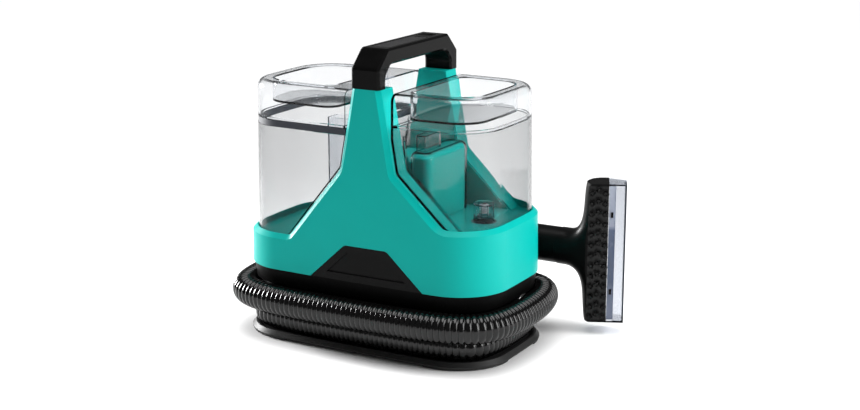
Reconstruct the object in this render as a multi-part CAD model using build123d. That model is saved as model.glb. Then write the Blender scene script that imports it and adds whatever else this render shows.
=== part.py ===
from build123d import *
import math
import os

# Driving dimensions in millimetres: +X to the machine's right, +Y to its rear, +Z up, floor at Z 0

# Body outline seen from above
BODY_HALF_LENGTH = 165.0
BODY_HALF_DEPTH = 93.8
BODY_CORNER_RADIUS = 60.0
SIDE_BOW = 4.0
END_BOW = 2.4

# Main shell: coloured band, tank rims and the two pillars
BAND_BOTTOM = 84.5
LEFT_RIM = 126.7
RIGHT_RIM = 157.3
PILLAR_TOP = 305.0
WALL_LEAN = 3.4
RIM_BEVEL = 5.0
SEAT_DEPTH = 9.0
SHELL_WALL = 3.0
PILLAR_CENTRE = 17.0
PILLAR_TOP_HALF = 18.0
KINK_HALF = 34.4
KINK_HEIGHT = 212.0
LEFT_FOOT = -87.0
RIGHT_FOOT = 110.0
PILLAR_DEPTH = 33.0
KINK_RADIUS = 14.0
LEFT_FOOT_RADIUS = 10.0
RIGHT_FOOT_RADIUS = 25.0

# Front trim panel in its notch
NOTCH_TOP = 126.4
NOTCH_TOP_HALF = 27.3
NOTCH_BOTTOM_HALF = 73.0
NOTCH_RADIUS = 8.0
TRIM_GAP = 0.3
TRIM_FRAME = 8.5
TRIM_RECESS = 2.0
TRIM_THICKNESS = 5.0

# Tanks and lids
TANK_INSET = 6.7
TANK_GAP = 0.6
TANK_WALL = 2.2
CENTRE_GAP_HALF = 29.0
PILLAR_GAP = 1.5
LEFT_TANK_TOP = 250.0
LEFT_SEAL_HEIGHT = 7.2
SEAL_INSET = 0.4
RIGHT_TANK_TOP = 264.0
LID_TOP = 301.0
LID_CROWN = 9.0
SEAM_GAP = 0.3

LEFT_TRAY_DEPTH = 24.0
RIGHT_TRAY_DEPTH = 28.0
TRAY_RIM = 19.0
LEFT_TRAY_SETBACK = 29.0
RIGHT_TRAY_SETBACK = 10.0
TRAY_RADIUS = 14.0
LID_FLANGE = 5.6
LID_FLANGE_HEIGHT = 2.6

# Intake tower between the tanks
TOWER_WALL = 2.5
TOWER_RIGHT = 70.0
TOWER_FRONT = -42.0
TOWER_REAR = 48.0
TOWER_TOP = 226.0
TOWER_RADIUS = 9.0
NECK_BLOCK_HALF = 33.0
NECK_BLOCK_DROP = 10.0
TOWER_GAP = 1.5
AIRWAY_RADIUS = 14.0
AIRWAY_HEIGHT = 196.0
AIRWAY_SEAL_WIDTH = 4.0

# Dirty tank fittings
RISER_LEFT = -55.0
RISER_WIDTH = 28.0
RISER_FRONT = -55.0
RISER_DEPTH = 25.0
RISER_TOP = 262.0
RISER_WALL = 1.8
SPIGOT_RADIUS = 9.2
SPIGOT_BORE = 7.2
SPIGOT_RISE = 18.0
CAGE_RADIUS = 19.0
CAGE_WALL = 2.0
CAGE_LOW = 150.0
FLOAT_GAP = 0.8
FLOAT_HEIGHT = 30.0

# Clean tank fittings
VALVE_X = 118.0
VALVE_RADIUS = 12.0
VALVE_BORE = 5.0
STEM_RADIUS = 3.0
VALVE_HEAD = 8.0
VALVE_TRAVEL = 3.0
SPRING_ROOM = 13.0
STEM_RECESS = 1.2
DOCK_PIN_RADIUS = 1.6
DOCK_PIN_GAP = 0.5
DOCK_RADIUS = 15.0
DOCK_DEPTH = 14.0
VENT_WIDTH = 12.0
VENT_LENGTH = 36.0
VENT_HEIGHT = 18.0

# Carrying handle
HANDLE_WIDTH = 35.7
HANDLE_FOOT_Y = 90.0
HANDLE_SHOULDER = 328.0
HANDLE_TOP = 348.0
HANDLE_TOP_Y = 69.0
POST_THICKNESS = 16.0
BAR_THICKNESS = 18.0
HANDLE_BEND = 6.0
HANDLE_INNER_BEND = 12.0
HANDLE_EDGE = 2.4
INLAY_WIDTH = 22.0
INLAY_LENGTH = 88.0
INLAY_DEPTH = 1.6
INLAY_CENTRE_Y = -13.0
BUTTON_LENGTH = 17.0
BUTTON_WIDTH = 20.0
BUTTON_CENTRE_Y = 47.0
BUTTON_TRAVEL = 1.5
BUTTON_HEIGHT = 4.5
BUTTON_GAP = 0.3
SWITCH_HEIGHT = 6.0

# Lower housing, hose well and base plate
HOUSING_WALL = 2.5
HOUSING_TOP_INSET = 1.5
WELL_TOP = 66.0
WELL_TOP_INSET = 4.0
WELL_BOTTOM = 34.0
WELL_INSET = 38.0
FLANGE_OUT = 3.0
FLANGE_BOTTOM = 3.0
BASE_TOP = 5.5
LIP_TOP = 9.0
LIP_INSET = 1.0
LIP_WIDTH = 2.5
LOBE_BOTTOM = 0.8
LOBE_WIDTH = 34.0
LOBE_START_X = 92.0
LOBE_START_Y = 34.0
FOOT_RADIUS = 11.0
FOOT_INSET = 16.0
FOOT_HEIGHT = 2.2
FOOT_EDGE = 0.6
VENT_SLOT_LENGTH = 34.0
VENT_SLOT_WIDTH = 3.0
VENT_SLOT_PITCH = 7.0
VENT_SLOTS = 7

# Fasteners
SCREW_HEAD = 3.2
SCREW_HEAD_HEIGHT = 1.8
SCREW_SHANK = 1.6
SCREW_LENGTH = 14.0
BOSS_RADIUS = 4.5

# Suction motor
MOTOR_X = 49.0
MOTOR_RADIUS = 31.0
MOTOR_BOTTOM = 28.0
MOTOR_TOP = 88.0
SHAFT_RADIUS = 4.0
SHAFT_GAP = 0.06
SHROUD_RADIUS = 47.0
SHROUD_TOP = 126.0
SHROUD_WALL = 2.0
FAN_RADIUS = 42.0
FAN_BLADES = 7
INLET_RADIUS = 15.0
MOUNT_WIDTH = 6.0
COLLAR_WALL = 2.5
MOUNT_LOW = 38.0
MOUNT_HEIGHT = 12.0
FILTER_HEIGHT = 8.0

# Water pump
PUMP_X = 122.0
PUMP_Z = 110.0
PUMP_RADIUS = 16.0
PUMP_FRONT = -30.0
PUMP_LENGTH = 44.0
PUMP_HEAD_RADIUS = 11.0
PUMP_HEAD_LENGTH = 16.0
TUBE_RADIUS = 3.6
TUBE_BEND = 9.0

# Suction hose, wound twice round the well
HOSE_RADIUS = 17.0
HOSE_WALL = 2.2
HOSE_REST_GAP = 0.1
UPPER_TURN_OUT = 8.0
UPPER_TURN_Z = 51.0
LOWER_TURN_INSET = 18.5
HOSE_LEAD = 14.0
HOSE_RISE = 6.0
HOSE_BOW = 3.0
HOSE_SIDE_BEND = 600.0
HOSE_BEND_SHARE = 0.96
HALF_BEND = 22.5
PORT_X = -20.0
PORT_RADIUS = 15.5
PORT_REACH = 20.0
PORT_PLUG = 18.0

# Hand tool stored along the rear
TOOL_Y = 119.0
TOOL_Z = 98.2
GRIP_START = -20.0
GRIP_END = 100.0
GRIP_TAIL_RADIUS = 18.5
GRIP_WAIST_RADIUS = 16.8
GRIP_NOSE_RADIUS = 21.0
GRIP_WALL = 2.4
CUFF_LENGTH = 30.0
CUFF_WALL = 2.6
NECK_RADIUS = 21.6
NECK_END = 160.0
NECK_WALL = 4.0
NOZZLE_SPIGOT_RADIUS = 17.5
NOZZLE_SPIGOT_LENGTH = 20.0
NOZZLE_SPIGOT_WALL = 2.5
NOZZLE_FIT_GAP = 0.3
TRIGGER_PIVOT_X = 88.0
TRIGGER_PIVOT_OUT = 14.0
TRIGGER_LENGTH = 48.0
TRIGGER_HALF_WIDTH = 6.0
TRIGGER_SWING = 8.0
PIN_RADIUS = 1.5
PIN_GAP = 0.05
SLOT_GAP = 0.8
SADDLE_WIDTH = 20.0
SADDLE_X = (8.0, 112.0)
SADDLE_GAP = 0.3
SADDLE_WALL = 4.0

# Nozzle on the tool's end
COLLAR_END = 168.0
FLARE_END = 194.0
NOZZLE_HALF_HEIGHT = 83.5
FACE_START = (200.6, 98.0)
FACE_WIDTH = 46.0
FACE_ANGLE = 24.0
NOZZLE_DEPTH = 26.0
HOOD_WALL = 2.5
BRUSH_WIDTH = 26.0
BRUSH_THICKNESS = 5.0
BRUSH_ROWS = 13
BRUSH_COLUMNS = 3
TUFT_RADIUS = 2.0
TUFT_HEIGHT = 3.2
WINDOW_WALL = 2.0
SUCTION_SLOT = 6.5
COLLAR_ROUNDING = 0.9
RELEASE_X = 140.0
RELEASE_RADIUS = 6.0

FLOAT_LOW = CAGE_LOW + CAGE_WALL + SEAM_GAP
CAGE_TOP = AIRWAY_HEIGHT + AIRWAY_RADIUS + 2 * CAGE_WALL
FLOAT_TRAVEL = CAGE_TOP - CAGE_WALL - SEAM_GAP - FLOAT_LOW - FLOAT_HEIGHT
SEAT_LEFT = LEFT_RIM - SEAT_DEPTH
SEAT_RIGHT = RIGHT_RIM - SEAT_DEPTH
PILLAR_INNER = BODY_HALF_DEPTH - PILLAR_DEPTH
LEFT_WALL = PILLAR_CENTRE - CENTRE_GAP_HALF
RIGHT_WALL = PILLAR_CENTRE + CENTRE_GAP_HALF
FAR = 500.0


def plan(inset=0.0):
    """Outline of the body seen from above, moved inward by inset."""
    x = BODY_HALF_LENGTH - END_BOW - inset
    y = BODY_HALF_DEPTH - SIDE_BOW - inset
    front = ThreePointArc((-x, -y), (0, -y - SIDE_BOW), (x, -y))
    right = ThreePointArc((x, -y), (x + END_BOW, 0), (x, y))
    rear = ThreePointArc((x, y), (0, y + SIDE_BOW), (-x, y))
    left = ThreePointArc((-x, y), (-x - END_BOW, 0), (-x, -y))
    face = make_face([front, right, rear, left])
    return fillet(face.vertices(), BODY_CORNER_RADIUS - inset)


def stack(levels):
    """Straight-sided loft through body outlines, given as (height, inset) pairs."""
    return loft([Pos(0, 0, z) * plan(inset) for z, inset in levels], ruled=True)


def lean(z):
    """Inward lean of the body's walls at a height."""
    return WALL_LEAN * (z - BAND_BOTTOM) / (PILLAR_TOP - BAND_BOTTOM)


def body_block(low, high, inset):
    """Upright block of the body's outline between two heights."""
    return stack([(low, inset + lean(low)), (high, inset + lean(high))])


def left_of(x):
    return Pos(x - FAR / 2, 0, 0) * Box(FAR, FAR, 2 * FAR)


def right_of(x):
    return Pos(x + FAR / 2, 0, 0) * Box(FAR, FAR, 2 * FAR)


def between_pillars(half_depth):
    return Box(2 * FAR, 2 * half_depth, 2 * FAR)


def front_prism(face):
    """Front elevation, drawn in X and Z, carried through the whole depth."""
    return extrude(Plane.XZ * face, amount=FAR / 2, both=True)


def upper_pillar_points():
    """Pillar outline from the left kink over the top to the right kink."""
    return [
        (PILLAR_CENTRE - KINK_HALF, KINK_HEIGHT),
        (PILLAR_CENTRE - PILLAR_TOP_HALF, PILLAR_TOP),
        (PILLAR_CENTRE + PILLAR_TOP_HALF, PILLAR_TOP),
        (PILLAR_CENTRE + KINK_HALF, KINK_HEIGHT),
    ]


def pillar_face(grow=0.0):
    """Pillar elevation with its slanted legs carried below the rims, moved outward by grow."""
    kinks = upper_pillar_points()
    low = SEAT_LEFT - SEAT_DEPTH
    left_slope = (kinks[0][0] - LEFT_FOOT) / (KINK_HEIGHT - LEFT_RIM)
    right_slope = (RIGHT_FOOT - kinks[-1][0]) / (KINK_HEIGHT - RIGHT_RIM)
    left_low = (kinks[0][0] - left_slope * (KINK_HEIGHT - low), low)
    right_low = (kinks[-1][0] + right_slope * (KINK_HEIGHT - low), low)
    face = make_face(Polyline(left_low, *kinks, right_low, close=True))
    bends = [v for v in face.vertices() if abs(v.Y - KINK_HEIGHT) < 0.01]
    face = fillet(bends, KINK_RADIUS)
    return offset(face, grow) if grow else face


def pillar_zone(grow=0.0):
    """Front and rear pillar volumes, moved outward by grow."""
    return front_prism(pillar_face(grow)) - between_pillars(PILLAR_INNER - grow)


def shell_elevation():
    """Front elevation of the whole coloured shell."""
    reach = BODY_HALF_LENGTH + SHELL_WALL
    points = [(-reach, BAND_BOTTOM), (-reach, LEFT_RIM), (LEFT_FOOT, LEFT_RIM)]
    points += upper_pillar_points()
    points += [(RIGHT_FOOT, RIGHT_RIM), (reach, RIGHT_RIM), (reach, BAND_BOTTOM)]
    face = make_face(Polyline(*points, close=True))
    bends = [v for v in face.vertices() if abs(v.Y - KINK_HEIGHT) < 0.01]
    face = fillet(bends, KINK_RADIUS)
    left_foot = face.vertices().sort_by_distance((LEFT_FOOT, LEFT_RIM))[0]
    face = fillet(left_foot, LEFT_FOOT_RADIUS)
    right_foot = face.vertices().sort_by_distance((RIGHT_FOOT, RIGHT_RIM))[0]
    return fillet(right_foot, RIGHT_FOOT_RADIUS)


def notch_face(grow=0.0):
    """Trapezoid of the front trim panel, drawn in X and Z."""
    low = BAND_BOTTOM
    points = [
        (PILLAR_CENTRE - NOTCH_BOTTOM_HALF, low),
        (PILLAR_CENTRE - NOTCH_TOP_HALF, NOTCH_TOP),
        (PILLAR_CENTRE + NOTCH_TOP_HALF, NOTCH_TOP),
        (PILLAR_CENTRE + NOTCH_BOTTOM_HALF, low),
    ]
    face = make_face(Polyline(*points, close=True))
    top = [v for v in face.vertices() if v.Y > NOTCH_TOP - 0.01]
    face = fillet(top, NOTCH_RADIUS)
    return offset(face, grow) if grow else face


def rod_x(radius, start, end, y=TOOL_Y, z=TOOL_Z):
    """Round bar along X."""
    bar = Cylinder(radius, end - start, align=(Align.CENTER, Align.CENTER, Align.MIN))
    return Pos(start, y, z) * Rot(0, 90, 0) * bar


def rod_y(radius, start, end, x, z):
    """Round bar along Y."""
    bar = Cylinder(radius, end - start, align=(Align.CENTER, Align.CENTER, Align.MIN))
    return Pos(x, start, z) * Rot(-90, 0, 0) * bar


def rod_z(radius, low, high, x=0.0, y=0.0):
    """Round bar along Z."""
    return Pos(x, y, low) * Cylinder(radius, high - low, align=(Align.CENTER, Align.CENTER, Align.MIN))


def ring_z(outer, inner, low, high, x=0.0, y=0.0):
    return rod_z(outer, low, high, x, y) - rod_z(inner, low, high, x, y)


def span_box(x, y, z):
    """Box between two limits on each axis."""
    middle = Pos((x[0] + x[1]) / 2, (y[0] + y[1]) / 2, (z[0] + z[1]) / 2)
    return middle * Box(x[1] - x[0], y[1] - y[0], z[1] - z[0])


def pipe(points, radii, section):
    """Section carried along straight runs joined by tangent arcs."""
    route = FilletPolyline(*points, radius=radii)
    return sweep(Plane(route @ 0, z_dir=route % 0) * section, path=route)


def screw(x, y, low, length=SCREW_LENGTH):
    """Pan-head screw pointing up, with the underside of its head at the height low."""
    head = rod_z(SCREW_HEAD, low - SCREW_HEAD_HEIGHT, low, x, y)
    return head + rod_z(SCREW_SHANK, low, low + length, x, y)


# Places that several pieces share
HOSE_LOW_Z = BASE_TOP + HOSE_RADIUS + HOSE_REST_GAP
TANK_FLOOR_LEFT = SEAT_LEFT + SEAM_GAP
TANK_FLOOR_RIGHT = SEAT_RIGHT + SEAM_GAP
LEFT_LID_BOTTOM = LEFT_TANK_TOP + SEAM_GAP + LEFT_SEAL_HEIGHT
RIGHT_LID_BOTTOM = RIGHT_TANK_TOP + SEAM_GAP
DECK_UNDER_LEFT = SEAT_LEFT - SHELL_WALL
DECK_UNDER_RIGHT = SEAT_RIGHT - SHELL_WALL
STEP_X = LEFT_WALL + TANK_GAP
PILLAR_CAP = 4.0
RISER_X = RISER_LEFT + RISER_WIDTH / 2
RISER_Y = RISER_FRONT + RISER_DEPTH / 2
CAGE_X = LEFT_WALL - TANK_WALL - CAGE_RADIUS - 3.0
HANDLE_SCREW_Y = HANDLE_FOOT_Y - POST_THICKNESS / 2
HANDLE_SCREWS = [
    (PILLAR_CENTRE + side * HANDLE_WIDTH / 4, end * HANDLE_SCREW_Y) for side in (-1, 1) for end in (-1, 1)
]
BOSS_INSET = WELL_INSET + BOSS_RADIUS
BASE_SCREWS = [
    (side * (BODY_HALF_LENGTH - BOSS_INSET), end * BODY_CORNER_RADIUS / 4)
    for side in (-1, 1) for end in (-1, 1)
]
TOWER_SCREWS = [
    (x, y)
    for x in (RIGHT_WALL + TOWER_WALL + BOSS_RADIUS, TOWER_RIGHT - TOWER_WALL - BOSS_RADIUS)
    for y in (TOWER_FRONT + TOWER_WALL + BOSS_RADIUS, TOWER_REAR - TOWER_WALL - BOSS_RADIUS)
]
BOARD_X = -105.0
BOARD_SIZE = (70.0, 44.0, 1.6)
BOARD_DROP = 9.0
POST_RADIUS = 3.0
GLAND_Z = 142.0
GLAND_RADIUS = 7.0
GLAND_STEM = 5.0
GLAND_BORE = 3.6
GLAND_OUT = 7.0


def board_posts():
    x_step = BOARD_SIZE[0] / 2 - POST_RADIUS - 1
    y_step = BOARD_SIZE[1] / 2 - POST_RADIUS - 1
    return [(BOARD_X + i * x_step, j * y_step) for i in (-1, 1) for j in (-1, 1)]


def make_main_shell():
    body = body_block(BAND_BOTTOM, PILLAR_TOP, 0) & front_prism(shell_elevation())
    rims = [
        edge for edge in body.edges()
        if edge.geom_type != GeomType.LINE
        and BAND_BOTTOM + 1 < edge.center().Z < PILLAR_TOP - 1
        and not (edge.bounding_box().size.X < 2 and edge.bounding_box().size.Z > 20)
    ]
    body = chamfer(rims, RIM_BEVEL)
    pillars = pillar_zone()
    inset = TANK_INSET - TANK_GAP
    body -= (body_block(SEAT_LEFT, PILLAR_TOP + 1, inset) & left_of(STEP_X)) - pillars
    body -= (body_block(SEAT_RIGHT, PILLAR_TOP + 1, inset) & right_of(STEP_X)) - pillars
    # Hollow underneath, stepped with the two tank seats and rising into the pillars
    inside = body_block(BAND_BOTTOM - 1, PILLAR_TOP - PILLAR_CAP, SHELL_WALL)
    step = STEP_X + SHELL_WALL
    under_left = inside & span_box((-FAR, step), (-FAR, FAR), (0, DECK_UNDER_LEFT))
    under_right = inside & span_box((step, FAR), (-FAR, FAR), (0, DECK_UNDER_RIGHT))
    body -= under_left + under_right
    in_pillars = front_prism(pillar_face(-SHELL_WALL)) - between_pillars(PILLAR_INNER + SHELL_WALL)
    body -= inside & in_pillars
    # Openings for the trim panel, air, water, handle screws and cord gland
    front_half = Pos(0, -FAR / 2, 0) * Box(2 * FAR, FAR, 2 * FAR)
    body -= front_prism(notch_face()) & front_half
    body -= rod_z(INLET_RADIUS, DECK_UNDER_RIGHT - 1, SEAT_RIGHT + 1, MOTOR_X)
    body -= rod_z(DOCK_RADIUS, DECK_UNDER_RIGHT - 1, SEAT_RIGHT + 1, VALVE_X)
    body -= rod_z(SPIGOT_RADIUS, DECK_UNDER_LEFT - 1, SEAT_LEFT + 1, RISER_X, RISER_Y)
    for x, y in HANDLE_SCREWS:
        body -= rod_z(SCREW_SHANK, PILLAR_TOP - PILLAR_CAP - 1, PILLAR_TOP + 1, x, y)
    for x, y in TOWER_SCREWS:
        body -= rod_z(SCREW_SHANK, DECK_UNDER_RIGHT - 1, SEAT_RIGHT + 1, x, y)
    body -= rod_y(GLAND_STEM, PILLAR_INNER + SHELL_WALL + 1, FAR / 2, PILLAR_CENTRE, GLAND_Z)
    for x, y in board_posts():
        body += rod_z(POST_RADIUS, DECK_UNDER_LEFT - BOARD_DROP, DECK_UNDER_LEFT, x, y)
    return body


def make_front_trim_panel():
    face = notch_face(-TRIM_GAP)
    high = NOTCH_TOP + 1
    panel = body_block(BAND_BOTTOM, high, 0) - body_block(BAND_BOTTOM, high, TRIM_THICKNESS)
    front_half = Pos(0, -FAR / 2, 0) * Box(2 * FAR, FAR, 2 * FAR)
    panel = panel & front_prism(face) & front_half
    recess = body_block(BAND_BOTTOM, high, -1) - body_block(BAND_BOTTOM, high, TRIM_RECESS)
    return panel - (recess & front_prism(notch_face(-TRIM_FRAME)) & front_half)


def tank_block(is_left, low, high, shrink=0.0):
    """Outside of a tank between two heights, moved inward by shrink."""
    block = body_block(low, high, TANK_INSET + shrink)
    side = left_of(LEFT_WALL - shrink) if is_left else right_of(RIGHT_WALL + shrink)
    return (block & side) - pillar_zone(PILLAR_GAP + shrink)


def tower_boxes(grow=0.0):
    """Outside of the intake tower, moved outward by grow, its foot on the right-hand seat."""
    high = TOWER_TOP + grow
    wing = span_box(
        (RIGHT_WALL - grow, TOWER_RIGHT + grow), (TOWER_FRONT - grow, TOWER_REAR + grow), (SEAT_RIGHT, high)
    )
    wing = fillet(wing.edges().filter_by(Axis.Z), TOWER_RADIUS + grow)
    wing = fillet(wing.edges().group_by(Axis.Z)[-1], TOWER_RADIUS / 2 + grow)
    half = NECK_BLOCK_HALF + grow
    left = STEP_X + TANK_GAP + 1.0 - grow
    right = RIGHT_WALL + TOWER_RADIUS * 2
    block = span_box((left, right), (-half, half), (SEAT_RIGHT, high - NECK_BLOCK_DROP))
    return wing + block


def make_intake_tower():
    tower = tower_boxes() - tower_boxes(-TOWER_WALL)
    for x, y in TOWER_SCREWS:
        tower += rod_z(BOSS_RADIUS, SEAT_RIGHT, SEAT_RIGHT + SCREW_LENGTH, x, y)
        tower -= rod_z(SCREW_SHANK, SEAT_RIGHT, SEAT_RIGHT + SCREW_LENGTH, x, y)
    return tower - rod_x(AIRWAY_RADIUS, LEFT_WALL, RIGHT_WALL, 0, AIRWAY_HEIGHT)


def make_airway_seal():
    start = LEFT_WALL + SEAM_GAP
    end = STEP_X + TANK_GAP + 1.0
    outer = rod_x(AIRWAY_RADIUS + AIRWAY_SEAL_WIDTH, start, end, 0, AIRWAY_HEIGHT)
    return outer - rod_x(AIRWAY_RADIUS, start, end, 0, AIRWAY_HEIGHT)


def make_dirty_tank():
    tank = tank_block(True, TANK_FLOOR_LEFT, LEFT_TANK_TOP)
    tank -= tank_block(True, TANK_FLOOR_LEFT + TANK_WALL, LEFT_TANK_TOP + 1, TANK_WALL)
    tank -= rod_x(AIRWAY_RADIUS, LEFT_WALL - 2 * TANK_WALL, LEFT_WALL + 1, 0, AIRWAY_HEIGHT)
    above = TANK_FLOOR_LEFT + 2 * TANK_WALL
    return tank - rod_z(SPIGOT_RADIUS + 1, TANK_FLOOR_LEFT - 1, above, RISER_X, RISER_Y)


def make_dirty_riser():
    low = TANK_FLOOR_LEFT + TANK_WALL
    riser = span_box(
        (RISER_LEFT, RISER_LEFT + RISER_WIDTH), (RISER_FRONT, RISER_FRONT + RISER_DEPTH), (low, RISER_TOP)
    )
    bore = span_box(
        (RISER_LEFT + RISER_WALL, RISER_LEFT + RISER_WIDTH - RISER_WALL),
        (RISER_FRONT + RISER_WALL, RISER_FRONT + RISER_DEPTH - RISER_WALL),
        (low, RISER_TOP + 1),
    )
    corner = 3.0
    riser = fillet(riser.edges().filter_by(Axis.Z), corner)
    return riser - fillet(bore.edges().filter_by(Axis.Z), corner - RISER_WALL)


def make_float_cage():
    inner = CAGE_RADIUS - CAGE_WALL
    cage = ring_z(CAGE_RADIUS, inner, CAGE_LOW, CAGE_TOP, CAGE_X)
    cage += rod_z(CAGE_RADIUS, CAGE_TOP - CAGE_WALL, CAGE_TOP, CAGE_X)
    cage += ring_z(CAGE_RADIUS, inner - 4, CAGE_LOW, CAGE_LOW + CAGE_WALL, CAGE_X)
    arm = rod_x(AIRWAY_RADIUS + CAGE_WALL, CAGE_X, LEFT_WALL - TANK_WALL, 0, AIRWAY_HEIGHT)
    bore = rod_x(AIRWAY_RADIUS, CAGE_X, LEFT_WALL, 0, AIRWAY_HEIGHT)
    cage = cage + (arm - rod_z(inner, CAGE_LOW, CAGE_TOP, CAGE_X)) - bore
    slot_top = AIRWAY_HEIGHT - AIRWAY_RADIUS - 6
    slot = span_box((-3, 3), (-FAR / 2, FAR / 2), (CAGE_LOW + 4 * CAGE_WALL, slot_top))
    for turn in (15, 60, 105, 150):
        cage -= Pos(CAGE_X, 0, 0) * Rot(0, 0, turn) * slot
    return cage


def make_float_ball():
    body = rod_z(CAGE_RADIUS - CAGE_WALL - FLOAT_GAP, FLOAT_LOW, FLOAT_LOW + FLOAT_HEIGHT, CAGE_X)
    return fillet(body.edges(), 4)


def crown_edges(block):
    """Curved edges round the top of a lid."""
    return [e for e in block.edges().group_by(Axis.Z)[-1] if e.geom_type != GeomType.LINE]


def lid_shell(is_left, low, tray_depth, wall=TANK_WALL):
    """Clear lid: rounded crown, sunken grip tray and an inner flange at its seam."""
    outer = tank_block(is_left, low, LID_TOP)
    outer = fillet(crown_edges(outer), LID_CROWN)
    inner = tank_block(is_left, low, LID_TOP - wall, wall)
    inner = fillet(crown_edges(inner), LID_CROWN - wall)
    tray = lid_tray(is_left, LID_TOP - tray_depth, 0)
    inner -= lid_tray(is_left, LID_TOP - tray_depth - wall, wall)
    at_seam = span_box((-FAR, FAR), (-FAR, FAR), (0, low + LID_FLANGE_HEIGHT))
    lid = outer - (inner - at_seam) - tray
    return lid - (tank_block(is_left, low, LID_TOP - wall, LID_FLANGE) & at_seam)


def lid_tray(is_left, floor, grow):
    """Sunken grip tray of a lid, moved outward by grow."""
    inset = TANK_INSET + TRAY_RIM - grow
    block = body_block(floor, LID_TOP + 1, inset)
    edge = (LEFT_WALL - LEFT_TRAY_SETBACK + grow) if is_left else (RIGHT_WALL + RIGHT_TRAY_SETBACK - grow)
    block &= left_of(edge) if is_left else right_of(edge)
    posts = [e for e in block.edges() if abs(e.center().X - edge) < 0.1 and e.bounding_box().size.Z > 5]
    return fillet(posts, TRAY_RADIUS + grow)


def make_dirty_lid_seal():
    low = LEFT_TANK_TOP + SEAM_GAP
    seal = tank_block(True, low, LEFT_LID_BOTTOM, SEAL_INSET)
    return seal - tank_block(True, low, LEFT_LID_BOTTOM, LID_FLANGE)


def make_clean_tank():
    tank = tank_block(False, TANK_FLOOR_RIGHT, RIGHT_TANK_TOP) - tower_boxes(TOWER_GAP)
    hollow = tank_block(False, TANK_FLOOR_RIGHT + TANK_WALL, RIGHT_TANK_TOP + 1, TANK_WALL)
    tank -= hollow - tower_boxes(TOWER_GAP + TANK_WALL)
    return tank - rod_z(VALVE_RADIUS - 2, TANK_FLOOR_RIGHT - 1, TANK_FLOOR_RIGHT + 2 * TANK_WALL, VALVE_X)


def make_clean_vent_box():
    low = TOWER_TOP + TOWER_GAP + TANK_WALL
    x = TOWER_RIGHT - TOWER_RADIUS
    front = TOWER_FRONT + 8
    box = span_box((x - VENT_WIDTH, x), (front, front + VENT_LENGTH), (low, low + VENT_HEIGHT))
    box = fillet(box.edges().filter_by(Axis.Z), 2)
    wall = 1.6
    bore = span_box(
        (x - VENT_WIDTH + wall, x - wall), (front + wall, front + VENT_LENGTH - wall),
        (low, low + VENT_HEIGHT - wall),
    )
    return box - bore


VALVE_SEAT_LOW = TANK_FLOOR_RIGHT - 4.0
VALVE_SEAT_TOP = TANK_FLOOR_RIGHT + TANK_WALL + 4.0
VALVE_CAGE_TOP = VALVE_SEAT_TOP + SPRING_ROOM + VALVE_TRAVEL
VALVE_HEAD_HEIGHT = 2.4
STEM_LOW = TANK_FLOOR_RIGHT + STEM_RECESS


def make_clean_valve_seat():
    plug = rod_z(VALVE_RADIUS - 2.2, VALVE_SEAT_LOW, VALVE_SEAT_TOP, VALVE_X)
    plug += rod_z(VALVE_RADIUS, TANK_FLOOR_RIGHT + TANK_WALL, VALVE_SEAT_TOP, VALVE_X)
    plug -= rod_z(VALVE_BORE, VALVE_SEAT_LOW, VALVE_SEAT_TOP, VALVE_X)
    cage = ring_z(VALVE_RADIUS, VALVE_RADIUS - 2, VALVE_SEAT_TOP, VALVE_CAGE_TOP, VALVE_X)
    cage += ring_z(VALVE_RADIUS, STEM_RADIUS + 1, VALVE_CAGE_TOP - 2, VALVE_CAGE_TOP, VALVE_X)
    slot = span_box((-2.5, 2.5), (-FAR / 2, FAR / 2), (VALVE_SEAT_TOP, VALVE_CAGE_TOP - 2))
    for turn in (0, 60, 120):
        cage -= Pos(VALVE_X, 0, 0) * Rot(0, 0, turn) * slot
    return plug + cage


def make_clean_valve_poppet():
    low = VALVE_SEAT_TOP + SEAM_GAP
    head = rod_z(VALVE_HEAD, low, low + VALVE_HEAD_HEIGHT, VALVE_X)
    stem = rod_z(STEM_RADIUS, STEM_LOW, low, VALVE_X)
    return head + stem + rod_z(STEM_RADIUS, low, VALVE_CAGE_TOP - 4, VALVE_X)


def make_clean_valve_spring():
    low = VALVE_SEAT_TOP + SEAM_GAP + VALVE_HEAD_HEIGHT
    wire = 0.6
    high = VALVE_CAGE_TOP - 2
    turns = 4
    height = high - low - 2 * wire
    helix = Helix(height / turns, height, STEM_RADIUS + 2.2)
    coil = sweep(Plane(helix @ 0, z_dir=helix % 0) * Circle(wire), path=helix)
    return Pos(VALVE_X, 0, low + wire) * coil


def make_valve_dock():
    low = SEAT_RIGHT - DOCK_DEPTH
    inner = DOCK_RADIUS - 2
    cup = rod_z(DOCK_RADIUS, low, SEAT_RIGHT, VALVE_X) - rod_z(inner, low + 2, SEAT_RIGHT, VALVE_X)
    cup += ring_z(DOCK_RADIUS + 3, DOCK_RADIUS, low, DECK_UNDER_RIGHT, VALVE_X)
    cup += rod_z(DOCK_PIN_RADIUS, low + 2, STEM_LOW - DOCK_PIN_GAP, VALVE_X)
    barb = rod_y(TUBE_RADIUS - 1.2, DOCK_RADIUS, DOCK_RADIUS + 12, VALVE_X, low + 5)
    return cup + barb


def make_dock_seal():
    return ring_z(DOCK_RADIUS - 2, VALVE_RADIUS - 1.6, SEAT_RIGHT - 5, SEAT_RIGHT - 2, VALVE_X)


def make_inlet_spigot():
    low = DECK_UNDER_LEFT - 6
    pipe_body = ring_z(SPIGOT_RADIUS, SPIGOT_BORE, low, SEAT_LEFT + SPIGOT_RISE, RISER_X, RISER_Y)
    return pipe_body + ring_z(SPIGOT_RADIUS + 4, SPIGOT_RADIUS, low, DECK_UNDER_LEFT, RISER_X, RISER_Y)


def make_spigot_seal():
    low = SEAT_LEFT + 5
    return ring_z(SPIGOT_RADIUS + 0.7, SPIGOT_RADIUS, low, low + 3, RISER_X, RISER_Y)


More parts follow.
